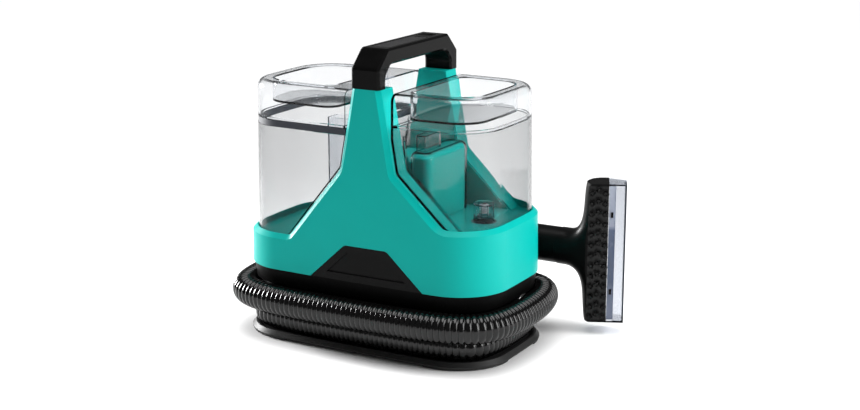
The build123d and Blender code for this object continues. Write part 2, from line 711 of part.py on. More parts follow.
def make_carry_handle():
    foot = HANDLE_FOOT_Y
    inner_foot = foot - POST_THICKNESS
    underside = HANDLE_TOP - BAR_THICKNESS
    inner_top = HANDLE_TOP_Y - 7
    outline = Polyline(
        (-foot, PILLAR_TOP), (-foot, HANDLE_SHOULDER), (-HANDLE_TOP_Y, HANDLE_TOP),
        (HANDLE_TOP_Y, HANDLE_TOP), (foot, HANDLE_SHOULDER), (foot, PILLAR_TOP),
        (inner_foot, PILLAR_TOP), (inner_foot, underside - 12), (inner_top, underside),
        (-inner_top, underside), (-inner_foot, underside - 12), (-inner_foot, PILLAR_TOP), close=True,
    )
    face = make_face(outline)
    upper = [v for v in face.vertices() if v.Y > PILLAR_TOP + 1]
    outer_bends = [v for v in upper if abs(v.X) > HANDLE_TOP_Y - 1 and v.Y > underside - 5]
    face = fillet(outer_bends, HANDLE_BEND)
    inner_bends = [
        v for v in face.vertices()
        if abs(v.Y - underside) < 0.01 or abs(v.Y - underside + 12) < 0.01
    ]
    face = fillet(inner_bends, HANDLE_INNER_BEND)
    bar = extrude(Plane.YZ * face, amount=HANDLE_WIDTH / 2, both=True)
    sides = [
        e for e in bar.edges()
        if abs(abs(e.center().X) - HANDLE_WIDTH / 2) < 0.01 and e.center().Z > PILLAR_TOP + 1
    ]
    bar = chamfer(sides, HANDLE_EDGE)
    bar -= span_box(
        (-INLAY_WIDTH / 2, INLAY_WIDTH / 2),
        (INLAY_CENTRE_Y - INLAY_LENGTH / 2, INLAY_CENTRE_Y + INLAY_LENGTH / 2),
        (HANDLE_TOP - INLAY_DEPTH, HANDLE_TOP + 1),
    )
    pocket_floor = HANDLE_TOP - BUTTON_HEIGHT - BUTTON_TRAVEL - SWITCH_HEIGHT
    bar -= button_block(pocket_floor, HANDLE_TOP + 1, BUTTON_GAP)
    bar = Pos(PILLAR_CENTRE, 0, 0) * bar
    for x, y in HANDLE_SCREWS:
        bar -= rod_z(SCREW_SHANK, PILLAR_TOP, PILLAR_TOP - PILLAR_CAP + SCREW_LENGTH, x, y)
    return bar


def button_block(low, high, grow=0.0):
    """Power button's outline on the handle's top, about the handle's own centre."""
    half_x = BUTTON_WIDTH / 2 + grow
    half_y = BUTTON_LENGTH / 2 + grow
    block = span_box((-half_x, half_x), (BUTTON_CENTRE_Y - half_y, BUTTON_CENTRE_Y + half_y), (low, high))
    return fillet(block.edges().filter_by(Axis.Z), 3 + grow)


def make_handle_grip_inlay():
    half = INLAY_LENGTH / 2
    strip = span_box(
        (-INLAY_WIDTH / 2, INLAY_WIDTH / 2), (INLAY_CENTRE_Y - half, INLAY_CENTRE_Y + half),
        (HANDLE_TOP - INLAY_DEPTH, HANDLE_TOP - INLAY_DEPTH / 4),
    )
    return Pos(PILLAR_CENTRE, 0, 0) * strip


def make_power_button():
    high = HANDLE_TOP - 0.4
    cap = button_block(high - BUTTON_HEIGHT, high)
    dish = Pos(0, BUTTON_CENTRE_Y, high + 38.8) * Sphere(40)
    return Pos(PILLAR_CENTRE, 0, 0) * (cap - dish)


def make_power_switch():
    low = HANDLE_TOP - BUTTON_HEIGHT - BUTTON_TRAVEL - SWITCH_HEIGHT
    high = HANDLE_TOP - 0.4 - BUTTON_HEIGHT - BUTTON_TRAVEL - SEAM_GAP
    body = button_block(low, high - 1.2, -1.5)
    return Pos(PILLAR_CENTRE, 0, 0) * (body + Pos(0, BUTTON_CENTRE_Y, 0) * rod_z(2.2, high - 1.2, high))


def make_lower_housing():
    levels = [(BASE_TOP, WELL_INSET), (WELL_BOTTOM, WELL_INSET)]
    levels += [(WELL_TOP, WELL_TOP_INSET), (BAND_BOTTOM, HOUSING_TOP_INSET)]
    outer = stack(levels)
    housing = outer - stack([(z, inset + HOUSING_WALL) for z, inset in levels])
    for x, y in BASE_SCREWS:
        housing += rod_z(BOSS_RADIUS, BASE_TOP, BASE_TOP + SCREW_LENGTH + 2, x, y) & outer
        housing -= rod_z(SCREW_SHANK, BASE_TOP, BASE_TOP + SCREW_LENGTH, x, y)
    housing -= rod_y(PORT_RADIUS, port_mouth(), FAR / 2, PORT_X, HOSE_LOW_Z)
    return housing - rod_y(PORT_RADIUS - HOSE_WALL, 0, FAR / 2, PORT_X, HOSE_LOW_Z)


def foot_places():
    reach = (BODY_CORNER_RADIUS - FOOT_INSET) * math.sqrt(0.5)
    x = BODY_HALF_LENGTH - BODY_CORNER_RADIUS + reach
    y = BODY_HALF_DEPTH - BODY_CORNER_RADIUS + reach
    return [(i * x, j * y) for i in (-1, 1) for j in (-1, 1)]


def make_base_plate():
    step = FLANGE_BOTTOM + 1.4
    plate = stack([(FLANGE_BOTTOM, -FLANGE_OUT), (step, -FLANGE_OUT), (LIP_TOP, LIP_INSET)])
    plate -= stack([(BASE_TOP, LIP_INSET + 3 * LIP_WIDTH), (LIP_TOP, LIP_INSET + LIP_WIDTH)])
    lobes = stack([(LOBE_BOTTOM, 1 - FLANGE_OUT), (FLANGE_BOTTOM, -FLANGE_OUT)])
    lobes -= stack([(LOBE_BOTTOM, LOBE_WIDTH), (FLANGE_BOTTOM, LOBE_WIDTH + 2)])
    for i in (-1, 1):
        for j in (-1, 1):
            x = sorted((i * LOBE_START_X, i * FAR / 2))
            y = sorted((j * LOBE_START_Y, j * FAR / 2))
            plate += lobes & span_box(x, y, (0, FLANGE_BOTTOM))
    for x, y in foot_places():
        plate -= rod_z(FOOT_RADIUS, LOBE_BOTTOM - 1, FOOT_HEIGHT, x, y)
    for x, y in BASE_SCREWS:
        plate -= rod_z(SCREW_SHANK, FLANGE_BOTTOM, BASE_TOP, x, y)
    # Motor collar, with the exhaust slots inside it
    collar = MOTOR_RADIUS + MOUNT_WIDTH
    plate += ring_z(collar + COLLAR_WALL, collar, BASE_TOP, MOUNT_LOW + MOUNT_HEIGHT, MOTOR_X)
    plate += ring_z(collar, collar - 3, MOUNT_LOW - 3, MOUNT_LOW, MOTOR_X)
    for k in range(VENT_SLOTS):
        y = (k - (VENT_SLOTS - 1) / 2) * VENT_SLOT_PITCH
        plate -= Pos(MOTOR_X, y, BASE_TOP / 2) * Box(VENT_SLOT_LENGTH, VENT_SLOT_WIDTH, 2 * BASE_TOP)
    return plate


def make_rubber_feet():
    feet = [rod_z(FOOT_RADIUS, 0, FOOT_HEIGHT, x, y) for x, y in foot_places()]
    return [fillet(foot.edges().group_by(Axis.Z)[0], FOOT_EDGE) for foot in feet]


def make_motor_can():
    can = rod_z(MOTOR_RADIUS, MOTOR_BOTTOM + 6, MOTOR_TOP, MOTOR_X)
    can = fillet(can.edges().group_by(Axis.Z)[0], 5)
    can += rod_z(SHAFT_RADIUS + 7, MOTOR_BOTTOM, MOTOR_BOTTOM + 7, MOTOR_X)
    slot = span_box((MOTOR_RADIUS - 5, MOTOR_RADIUS + 1), (-4, 4), (MOTOR_BOTTOM + 32, MOTOR_TOP - 8))
    for k in range(8):
        can -= Pos(MOTOR_X, 0, 0) * Rot(0, 0, 45 * k) * slot
    return can - rod_z(SHAFT_RADIUS + SHAFT_GAP, MOTOR_BOTTOM - 1, MOTOR_TOP + 1, MOTOR_X)


def make_motor_mount():
    return ring_z(MOTOR_RADIUS + MOUNT_WIDTH, MOTOR_RADIUS, MOUNT_LOW, MOUNT_LOW + MOUNT_HEIGHT, MOTOR_X)


def make_exhaust_filter():
    return rod_z(MOTOR_RADIUS + MOUNT_WIDTH - 0.5, BASE_TOP, BASE_TOP + FILTER_HEIGHT, MOTOR_X)


def make_fan_shroud():
    shroud = rod_z(SHROUD_RADIUS, MOTOR_TOP, SHROUD_TOP, MOTOR_X)
    shroud = fillet(shroud.edges().group_by(Axis.Z)[-1], 6)
    hollow = rod_z(SHROUD_RADIUS - SHROUD_WALL, MOTOR_TOP + SHROUD_WALL, SHROUD_TOP - SHROUD_WALL, MOTOR_X)
    shroud -= fillet(hollow.edges().group_by(Axis.Z)[-1], 4)
    shroud -= rod_z(INLET_RADIUS, SHROUD_TOP - 2 * SHROUD_WALL, SHROUD_TOP + 1, MOTOR_X)
    shroud -= rod_z(SHAFT_RADIUS + 1, MOTOR_TOP - 1, MOTOR_TOP + 2 * SHROUD_WALL, MOTOR_X)
    for k in range(6):
        hole = rod_z(3.5, MOTOR_TOP - 1, MOTOR_TOP + 2 * SHROUD_WALL, MOTOR_RADIUS + 8)
        shroud -= Pos(MOTOR_X, 0, 0) * Rot(0, 0, 60 * k) * hole
    return shroud


FAN_LOW = MOTOR_TOP + SHROUD_WALL + 4
FAN_HIGH = SHROUD_TOP - SHROUD_WALL - 6


def make_impeller():
    wheel = rod_z(FAN_RADIUS, FAN_LOW, FAN_LOW + 1.6)
    wheel += ring_z(FAN_RADIUS, INLET_RADIUS, FAN_HIGH - 1.6, FAN_HIGH)
    wheel += rod_z(SHAFT_RADIUS + 4, FAN_LOW, FAN_HIGH - 4)
    blade_line = Spline(
        (INLET_RADIUS - 3, 0), (FAN_RADIUS * 0.66, 6), (FAN_RADIUS * 0.82, FAN_RADIUS * 0.5)
    )
    blade = extrude(trace(blade_line, 1.4), FAN_HIGH - FAN_LOW - 1.6)
    for k in range(FAN_BLADES):
        wheel += Rot(0, 0, 360 * k / FAN_BLADES) * Pos(0, 0, FAN_LOW + 0.8) * blade
    return Pos(MOTOR_X, 0, 0) * (wheel - rod_z(SHAFT_RADIUS, FAN_LOW, FAN_HIGH))


def make_motor_shaft():
    shaft = rod_z(SHAFT_RADIUS, MOTOR_BOTTOM + 1, FAN_HIGH - 4, MOTOR_X)
    return chamfer(shaft.edges(), 0.6)


def make_inlet_duct():
    return ring_z(INLET_RADIUS + 5, INLET_RADIUS, SHROUD_TOP, DECK_UNDER_RIGHT, MOTOR_X)


def make_pump_body():
    body = rod_y(PUMP_RADIUS, PUMP_FRONT, PUMP_FRONT + PUMP_LENGTH, PUMP_X, PUMP_Z)
    return fillet(body.edges(), 2)


def make_pump_head():
    start = PUMP_FRONT + PUMP_LENGTH
    head = rod_y(PUMP_HEAD_RADIUS, start, start + PUMP_HEAD_LENGTH, PUMP_X, PUMP_Z)
    head += rod_y(TUBE_RADIUS - 1.2, start, start + PUMP_HEAD_LENGTH + 10, PUMP_X, PUMP_Z)
    middle = start + PUMP_HEAD_LENGTH / 2
    barb = rod_x(TUBE_RADIUS - 1.2, PUMP_X - PUMP_HEAD_RADIUS - 8, PUMP_X, middle, PUMP_Z)
    return head + barb


def make_pump_bracket():
    wide = PUMP_RADIUS + 4
    y = (PUMP_FRONT + 10, PUMP_FRONT + 24)
    plate = span_box((PUMP_X - wide, PUMP_X + wide), y, (PUMP_Z - 6, DECK_UNDER_RIGHT))
    plate -= rod_y(PUMP_RADIUS, y[0], y[1], PUMP_X, PUMP_Z)
    gap = PUMP_RADIUS
    return plate - span_box((PUMP_X - gap, PUMP_X + gap), y, (PUMP_Z - 7, PUMP_Z)) - rod_z(
        DOCK_RADIUS + 3, DECK_UNDER_RIGHT - DOCK_DEPTH, DECK_UNDER_RIGHT, VALVE_X)


def tube_section():
    return Circle(TUBE_RADIUS) - Circle(TUBE_RADIUS - 1.2)


def make_supply_tube():
    dock = (VALVE_X, DOCK_RADIUS + 4, SEAT_RIGHT - DOCK_DEPTH + 5)
    head = (PUMP_X, PUMP_FRONT + PUMP_LENGTH + PUMP_HEAD_LENGTH + 2, PUMP_Z)
    reach = head[1] + 2.5 * TUBE_BEND
    points = [dock, (dock[0], reach, dock[2]), (head[0], reach, head[2]), head]
    return pipe(points, [TUBE_BEND, TUBE_BEND], tube_section())


def make_delivery_tube():
    start = (PUMP_X - PUMP_HEAD_RADIUS - 3, PUMP_FRONT + PUMP_LENGTH + PUMP_HEAD_LENGTH / 2, PUMP_Z)
    y = BODY_HALF_DEPTH - 24
    points = [
        start, (start[0] - 10, start[1], start[2]), (start[0] - 14, y, start[2] - 8),
        (PORT_X + 16, y, start[2] - 14), (PORT_X, y - 14, WELL_TOP),
        (PORT_X, port_mouth() - 8, HOSE_LOW_Z + PORT_RADIUS),
    ]
    return pipe(points, TUBE_BEND, tube_section())


def port_mouth():
    """Rear face of the lower housing at the height of the hose port."""
    return BODY_HALF_DEPTH - WELL_INSET


def make_control_board():
    high = DECK_UNDER_LEFT - BOARD_DROP
    low = high - BOARD_SIZE[2]
    board = Pos(BOARD_X, 0, (high + low) / 2) * Box(*BOARD_SIZE)
    board += span_box((BOARD_X - 24, BOARD_X - 6), (-12, 4), (low - 14, low))
    board += rod_z(6, low - 16, low, BOARD_X + 8, 8)
    board += rod_z(4, low - 12, low, BOARD_X + 22, 8)
    return board + span_box((BOARD_X - 2, BOARD_X + 28), (-18, -8), (low - 9, low))


def turn_points(out, heights):
    """Corners of one hose turn round the well, two to each body corner, from the rear left."""
    radius = BODY_CORNER_RADIUS + out
    reach = radius / math.cos(math.radians(HALF_BEND))
    points = []
    for k, z in enumerate(heights):
        angle = math.radians(90 + HALF_BEND + 2 * HALF_BEND * k)
        x = math.copysign(BODY_HALF_LENGTH - BODY_CORNER_RADIUS, math.cos(angle)) + reach * math.cos(angle)
        y = math.copysign(BODY_HALF_DEPTH - BODY_CORNER_RADIUS, math.sin(angle)) + reach * math.sin(angle)
        points.append((x, y, z))
    points.insert(4, (0, -BODY_HALF_DEPTH - out - HOSE_BOW, heights[4]))
    return points


def hose_points():
    """Hose route from the tool's cuff, twice round the well, to the port in the rear wall."""
    start = GRIP_START - CUFF_WALL * 2
    rear_out = BODY_HALF_DEPTH + UPPER_TURN_OUT
    rear_in = BODY_HALF_DEPTH - LOWER_TURN_INSET
    points = [(start, TOOL_Y, TOOL_Z), (start - CUFF_LENGTH - HOSE_LEAD, TOOL_Y, TOOL_Z)]
    points += turn_points(UPPER_TURN_OUT, [UPPER_TURN_Z + HOSE_RISE] + [UPPER_TURN_Z] * 7)
    points.append((PORT_X - 2 * PORT_RADIUS, rear_out, UPPER_TURN_Z))
    points += turn_points(-LOWER_TURN_INSET, [HOSE_LOW_Z] * 8)
    points.append((PORT_X + PORT_REACH, rear_in, HOSE_LOW_Z))
    return points


def make_suction_hose():
    upper = HOSE_BEND_SHARE * (BODY_CORNER_RADIUS + UPPER_TURN_OUT)
    lower = HOSE_BEND_SHARE * (BODY_CORNER_RADIUS - LOWER_TURN_INSET)
    upper_turn = [upper] * 4 + [HOSE_SIDE_BEND] + [upper] * 4
    lower_turn = [lower] * 4 + [HOSE_SIDE_BEND] + [lower] * 4
    route = FilletPolyline(*hose_points(), radius=[upper] + upper_turn + [upper] + lower_turn)
    ring = Circle(HOSE_RADIUS) - Circle(HOSE_RADIUS - HOSE_WALL)
    runs = [sweep(Plane(run @ 0, z_dir=run % 0) * ring, path=run) for run in route.edges()]
    return runs[0].fuse(*runs[1:])


def make_hose_port():
    y = BODY_HALF_DEPTH - LOWER_TURN_INSET
    z = HOSE_LOW_Z
    hose_end = PORT_X + PORT_REACH
    bore = PORT_RADIUS - HOSE_WALL
    elbow = rod_x(PORT_RADIUS, PORT_X, hose_end, y, z) + Pos(PORT_X, y, z) * Sphere(PORT_RADIUS)
    elbow += rod_y(PORT_RADIUS, port_mouth(), y, PORT_X, z)
    plug = HOSE_RADIUS - HOSE_WALL - HOSE_REST_GAP
    elbow += rod_x(plug, PORT_X, hose_end + PORT_PLUG, y, z)
    elbow -= rod_x(bore - 2, PORT_X, hose_end + PORT_PLUG, y, z) + rod_y(bore, port_mouth(), y, PORT_X, z)
    return elbow


def make_suction_duct():
    start = port_mouth()
    points = [
        (PORT_X, start, HOSE_LOW_Z), (PORT_X, start - 42, HOSE_LOW_Z),
        (RISER_X, RISER_Y, WELL_TOP - 12), (RISER_X, RISER_Y, DECK_UNDER_LEFT - 6),
    ]
    outer = PORT_RADIUS - HOSE_WALL
    return pipe(points, 22, Circle(outer) - Circle(outer - 2))


def grip_profile(shrink=0.0):
    """Side view of the grip about its own axis, moved inward by shrink."""
    waist = (GRIP_START + GRIP_END) / 2
    tail = (GRIP_START, GRIP_TAIL_RADIUS - shrink)
    nose = (GRIP_END, GRIP_NOSE_RADIUS - shrink)
    curve = Spline(tail, (waist, GRIP_WAIST_RADIUS - shrink), nose)
    sides = Polyline(nose, (GRIP_END, 0), (GRIP_START, 0), tail)
    return make_face([curve, sides])


def grip_body(shrink=0.0):
    return Pos(0, TOOL_Y, TOOL_Z) * revolve(Plane.XZ * grip_profile(shrink), Axis.X)


def trigger_sweep():
    """How far the trigger's tip moves inward over its swing, with room behind it."""
    return TRIGGER_LENGTH * math.sin(math.radians(TRIGGER_SWING)) + SLOT_GAP


def make_grip_half(side):
    """Upper (1) or lower (-1) half of the tool's grip."""
    grip = grip_body() - grip_body(GRIP_WALL)
    half = Pos(0, TOOL_Y, TOOL_Z + side * FAR / 2) * Box(2 * FAR, FAR, FAR)
    slot = span_box(
        (TRIGGER_PIVOT_X - TRIGGER_LENGTH - 6, TRIGGER_PIVOT_X + 6),
        (TOOL_Y + TRIGGER_PIVOT_OUT - trigger_sweep(), TOOL_Y + 2 * NECK_RADIUS),
        (TOOL_Z - TRIGGER_HALF_WIDTH - SLOT_GAP, TOOL_Z + TRIGGER_HALF_WIDTH + SLOT_GAP),
    )
    return (grip & half) - slot - make_trigger_pin()


def make_trigger():
    pivot_y = TOOL_Y + TRIGGER_PIVOT_OUT
    end_x = TRIGGER_PIVOT_X - TRIGGER_LENGTH
    outline = Polyline(
        (TRIGGER_PIVOT_X, pivot_y - 3.5), (end_x + 4, pivot_y + 2), (end_x, pivot_y + 10),
        (end_x + 12, pivot_y + 8), (TRIGGER_PIVOT_X - 4, pivot_y + 4.2),
        (TRIGGER_PIVOT_X, pivot_y + 3.5), close=True,
    )
    face = fillet(make_face(outline).vertices(), 1.2) + Pos(TRIGGER_PIVOT_X, pivot_y) * Circle(3.8)
    lever = extrude(Pos(0, 0, TOOL_Z) * face, amount=TRIGGER_HALF_WIDTH, both=True)
    return lever - rod_z(PIN_RADIUS + PIN_GAP, 0, FAR, TRIGGER_PIVOT_X, pivot_y)


def make_trigger_pin():
    reach = GRIP_NOSE_RADIUS - GRIP_WALL
    half = math.sqrt(reach ** 2 - TRIGGER_PIVOT_OUT ** 2)
    return rod_z(PIN_RADIUS, TOOL_Z - half, TOOL_Z + half, TRIGGER_PIVOT_X, TOOL_Y + TRIGGER_PIVOT_OUT)


def make_spray_valve():
    waist = (GRIP_START + GRIP_END) / 2
    body = rod_x(4.5, waist - 24, waist + 30, TOOL_Y - 5)
    rib = math.sqrt((GRIP_WAIST_RADIUS - GRIP_WALL) ** 2 - 8 ** 2) - HOSE_REST_GAP
    return body + span_box((waist - 2, waist + 2), (TOOL_Y - 8, TOOL_Y - 2), (TOOL_Z - rib, TOOL_Z + rib))


def make_hose_cuff():
    start = GRIP_START - CUFF_LENGTH
    outer = HOSE_RADIUS + CUFF_WALL
    cuff = rod_x(outer, start, GRIP_START)
    cuff = chamfer(cuff.edges().group_by(Axis.X)[0], 1)
    cuff -= rod_x(HOSE_RADIUS + HOSE_REST_GAP, start, GRIP_START - 2 * CUFF_WALL)
    return cuff - rod_x(HOSE_RADIUS - 2 * HOSE_WALL, start, GRIP_START)


def make_tool_neck():
    neck = rod_x(NECK_RADIUS, GRIP_END, NECK_END) - rod_x(NECK_RADIUS - NECK_WALL, GRIP_END, NECK_END)
    spigot = rod_x(NOZZLE_SPIGOT_RADIUS, NECK_END - 6, NECK_END + NOZZLE_SPIGOT_LENGTH)
    neck += rod_x(NECK_RADIUS - NECK_WALL, NECK_END - 6, NECK_END)
    bore = NOZZLE_SPIGOT_RADIUS - NOZZLE_SPIGOT_WALL
    neck = neck + spigot - rod_x(bore, NECK_END - 6, NECK_END + NOZZLE_SPIGOT_LENGTH)
    return neck - rod_y(RELEASE_RADIUS + BUTTON_GAP, TOOL_Y + 5, FAR / 2, RELEASE_X - 6, TOOL_Z)


def make_release_button():
    inner = TOOL_Y + NECK_RADIUS - NECK_WALL - 1
    cap = rod_y(RELEASE_RADIUS, inner, TOOL_Y + NECK_RADIUS + 1.2, RELEASE_X - 6, TOOL_Z)
    return fillet(cap.edges().group_by(Axis.Y)[-1], 1)


def make_neck_seal():
    start = NECK_END + 8
    outer = rod_x(NOZZLE_SPIGOT_RADIUS + NOZZLE_FIT_GAP / 2, start, start + 2.4)
    return outer - rod_x(NOZZLE_SPIGOT_RADIUS, start, start + 2.4)


def make_tool_cradle():
    solids = []
    body = body_block(BAND_BOTTOM, RIGHT_RIM, 0)
    for x in SADDLE_X:
        half_width = SADDLE_WIDTH / 2
        reach = GRIP_NOSE_RADIUS + SADDLE_WALL
        block = span_box(
            (x - half_width, x + half_width), (BODY_HALF_DEPTH - 12, TOOL_Y + reach),
            (BAND_BOTTOM + 0.5, TOOL_Z + SADDLE_WALL),
        )
        block += span_box(
            (x - half_width, x + half_width), (BODY_HALF_DEPTH + 0.6, TOOL_Y + reach - 10),
            (TOOL_Z - reach, BAND_BOTTOM + 0.5),
        )
        block -= body
        block -= grip_body(-SADDLE_GAP) + rod_x(NECK_RADIUS + SADDLE_GAP, GRIP_END, NECK_END)
        mouth = GRIP_NOSE_RADIUS - 3
        block -= span_box((x - half_width, x + half_width), (TOOL_Y - mouth, TOOL_Y + mouth), (TOOL_Z, FAR))
        solids.append(block)
    return solids


def make_cord_gland():
    rear = BODY_HALF_DEPTH - lean(GLAND_Z)
    stem = rod_y(GLAND_STEM, rear - SHELL_WALL - 2, rear, PILLAR_CENTRE, GLAND_Z)
    flange = rod_y(GLAND_RADIUS, rear - 3, rear + GLAND_OUT, PILLAR_CENTRE, GLAND_Z)
    flange -= body_block(BAND_BOTTOM, PILLAR_TOP, 0)
    return stem + flange - rod_y(GLAND_BORE, rear - 10, rear + GLAND_OUT + 1, PILLAR_CENTRE, GLAND_Z)


def face_plane():
    """Working face of the nozzle: local X across the mouth, local Y up, local Z out of the mouth."""
    turn = math.radians(FACE_ANGLE)
    across = (math.cos(turn), math.sin(turn), 0)
    out = (math.sin(turn), -math.cos(turn), 0)
    middle = (
        FACE_START[0] + across[0] * FACE_WIDTH / 2,
        FACE_START[1] + across[1] * FACE_WIDTH / 2,
        TOOL_Z,
    )
    return Plane(origin=middle, x_dir=across, z_dir=out)


def hood_plan(shrink=0.0):
    """Nozzle seen from above, moved inward by shrink."""
    turn = math.radians(FACE_ANGLE)
    end = (FACE_START[0] + FACE_WIDTH * math.cos(turn), FACE_START[1] + FACE_WIDTH * math.sin(turn))
    back = (end[0] - NOZZLE_DEPTH * math.sin(turn), end[1] + NOZZLE_DEPTH * math.cos(turn))
    front_y = TOOL_Y - NECK_RADIUS
    rear_y = TOOL_Y + NECK_RADIUS
    points = [
        (NECK_END + NOZZLE_FIT_GAP, front_y), (COLLAR_END, front_y), FACE_START, end, back,
        (COLLAR_END, rear_y), (NECK_END + NOZZLE_FIT_GAP, rear_y),
    ]
    face = make_face(Polyline(*points, close=True))
    return offset(face, -shrink) if shrink else face


def hood_elevation(shrink=0.0):
    """Nozzle seen from the front: round neck height, flared to the full mouth."""
    low = NECK_RADIUS - shrink
    high = NOZZLE_HALF_HEIGHT - shrink
    start = NECK_END + NOZZLE_FIT_GAP
    reach = FACE_START[0] + FACE_WIDTH + NOZZLE_DEPTH
    flare = FLARE_END + shrink
    upper = Spline((COLLAR_END, low), (flare, high), tangents=((1, 0), (0.25, 1)))
    lower = Spline((flare, -high), (COLLAR_END, -low), tangents=((-0.25, 1), (-1, 0)))
    edges = [
        Line((start, -low), (start, low)), Line((start, low), (COLLAR_END, low)), upper,
        Polyline((flare, high), (reach, high), (reach, -high), (flare, -high)), lower,
        Line((COLLAR_END, -low), (start, -low)),
    ]
    return make_face(edges)


def hood_block(shrink=0.0):
    from_above = extrude(Pos(0, 0, -FAR / 2) * hood_plan(shrink), amount=FAR)
    return from_above & (Pos(0, 0, TOOL_Z) * front_prism(hood_elevation(shrink)))


def rounded_hood(shrink=0.0):
    """Nozzle block with the edges of its collar rounded towards the neck's round section."""
    block = hood_block(shrink)
    return fillet(block.edges().filter_by(Axis.X), NECK_RADIUS * COLLAR_ROUNDING - shrink)


def mouth_box(u, v, n):
    """Box in the working face's own frame: across, up and out of the mouth."""
    return face_plane().location * span_box(u, v, n)


WINDOW_START = FACE_WIDTH / 2 - (FACE_WIDTH - BRUSH_WIDTH)


def window_zone(start):
    """Part of the nozzle's mouth that the clear window covers, through its whole depth."""
    tall = NOZZLE_HALF_HEIGHT + HOOD_WALL
    return mouth_box((start, FACE_WIDTH), (-tall, tall), (-FAR / 4, HOOD_WALL))


def make_nozzle_hood():
    hood = rounded_hood() - rounded_hood(HOOD_WALL) - window_zone(WINDOW_START)
    tall = NOZZLE_HALF_HEIGHT - HOOD_WALL
    brush_start = -FACE_WIDTH / 2 + HOOD_WALL
    hood -= mouth_box((brush_start, FACE_WIDTH), (-tall, tall), (-BRUSH_THICKNESS, HOOD_WALL))
    return hood - rod_x(NOZZLE_SPIGOT_RADIUS + NOZZLE_FIT_GAP, NECK_END, COLLAR_END + NOZZLE_SPIGOT_LENGTH)


def make_nozzle_window():
    window = hood_block() & window_zone(WINDOW_START)
    window -= hood_block(WINDOW_WALL) & window_zone(WINDOW_START - 1)
    tall = NOZZLE_HALF_HEIGHT - WINDOW_WALL
    slot_end = WINDOW_START + SUCTION_SLOT
    return window - mouth_box((WINDOW_START, slot_end), (-tall, tall), (-2 * WINDOW_WALL, HOOD_WALL))


def make_brush_strip():
    left = -FACE_WIDTH / 2 + HOOD_WALL
    right = WINDOW_START - TRIM_GAP
    tall = NOZZLE_HALF_HEIGHT - HOOD_WALL
    strip = mouth_box((left, right), (-tall, tall), (-BRUSH_THICKNESS, -1))
    across = (right - left) / BRUSH_COLUMNS
    up = 2 * tall / BRUSH_ROWS
    on_base = (Align.CENTER, Align.CENTER, Align.MIN)
    tuft = Cone(TUFT_RADIUS, TUFT_RADIUS * 0.7, TUFT_HEIGHT, align=on_base)
    for i in range(BRUSH_COLUMNS):
        for j in range(BRUSH_ROWS):
            shift = up / 4 if i % 2 else -up / 4
            u = left + (i + 0.5) * across
            v = -tall + (j + 0.5) * up + shift / 2
            strip += face_plane().location * Pos(u, v, -1) * tuft
    return strip


def screw_group(places, low, length=SCREW_LENGTH):
    return [screw(x, y, low, length) for x, y in places]


PIECES = {
    "base_plate": make_base_plate,
    "rubber_feet": make_rubber_feet,
    "base_screws": lambda: screw_group(BASE_SCREWS, FLANGE_BOTTOM),
    "lower_housing": make_lower_housing,
    "front_trim_panel": make_front_trim_panel,
    "main_shell": make_main_shell,
    "intake_tower": make_intake_tower,
    "tower_screws": lambda: screw_group(TOWER_SCREWS, DECK_UNDER_RIGHT),
    "airway_seal": make_airway_seal,
    "carry_handle": make_carry_handle,
    "handle_grip_inlay": make_handle_grip_inlay,
    "handle_screws": lambda: screw_group(HANDLE_SCREWS, PILLAR_TOP - PILLAR_CAP),
    "power_button": make_power_button,
    "power_switch": make_power_switch,
    "motor_can": make_motor_can,
    "motor_mount": make_motor_mount,
    "fan_shroud": make_fan_shroud,
    "impeller": make_impeller,
    "motor_shaft": make_motor_shaft,
    "inlet_duct": make_inlet_duct,
    "exhaust_filter": make_exhaust_filter,
    "pump_body": make_pump_body,
    "pump_head": make_pump_head,
    "pump_bracket": make_pump_bracket,
    "supply_tube": make_supply_tube,
    "delivery_tube": make_delivery_tube,
    "control_board": make_control_board,
    "suction_hose": make_suction_hose,
    "hose_port": make_hose_port,
    "suction_duct": make_suction_duct,
    "inlet_spigot": make_inlet_spigot,
    "spigot_seal": make_spigot_seal,
    "valve_dock": make_valve_dock,
    "dock_seal": make_dock_seal,
    "cord_gland": make_cord_gland,
    "tool_cradle": make_tool_cradle,
    "hose_cuff": make_hose_cuff,
    "grip_upper": lambda: make_grip_half(1),
    "grip_lower": lambda: make_grip_half(-1),
    "spray_valve": make_spray_valve,
    "trigger": make_trigger,
    "trigger_pin": make_trigger_pin,
    "tool_neck": make_tool_neck,
    "neck_seal": make_neck_seal,
    "release_button": make_release_button,
    "nozzle_hood": make_nozzle_hood,
    "nozzle_window": make_nozzle_window,
    "brush_strip": make_brush_strip,
    "dirty_tank": make_dirty_tank,
    "dirty_riser": make_dirty_riser,
    "float_cage": make_float_cage,
    "float_ball": make_float_ball,
    "dirty_lid": lambda: lid_shell(True, LEFT_LID_BOTTOM, LEFT_TRAY_DEPTH),
    "dirty_lid_seal": make_dirty_lid_seal,
    "clean_tank": make_clean_tank,
    "clean_vent_box": make_clean_vent_box,
    "clean_valve_seat": make_clean_valve_seat,
    "clean_valve_poppet": make_clean_valve_poppet,
    "clean_valve_spring": make_clean_valve_spring,
    "clean_lid": lambda: lid_shell(False, RIGHT_LID_BOTTOM, RIGHT_TRAY_DEPTH),
}


def build_all():
    """Every piece, shifted so that the origin lies under the middle of the whole object's box."""
    pieces = {}
    for name, make in PIECES.items():
        made = make()
        solids = made if isinstance(made, list) else [made]
        pieces[name] = Compound([solid for item in solids for solid in item.solids()])
    box = Compound(list(pieces.values())).bounding_box()
    shift = Pos(-box.center().X, -box.center().Y, -box.min.Z)
    return {name: shift * piece for name, piece in pieces.items()}, shift


if __name__ == "__main__":
    os.makedirs("parts", exist_ok=True)
    finished, offset_used = build_all()
    for name, piece in finished.items():
        export_step(piece, f"parts/{name}.step")
    print("origin moved by", offset_used.position)
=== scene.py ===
import math
import random

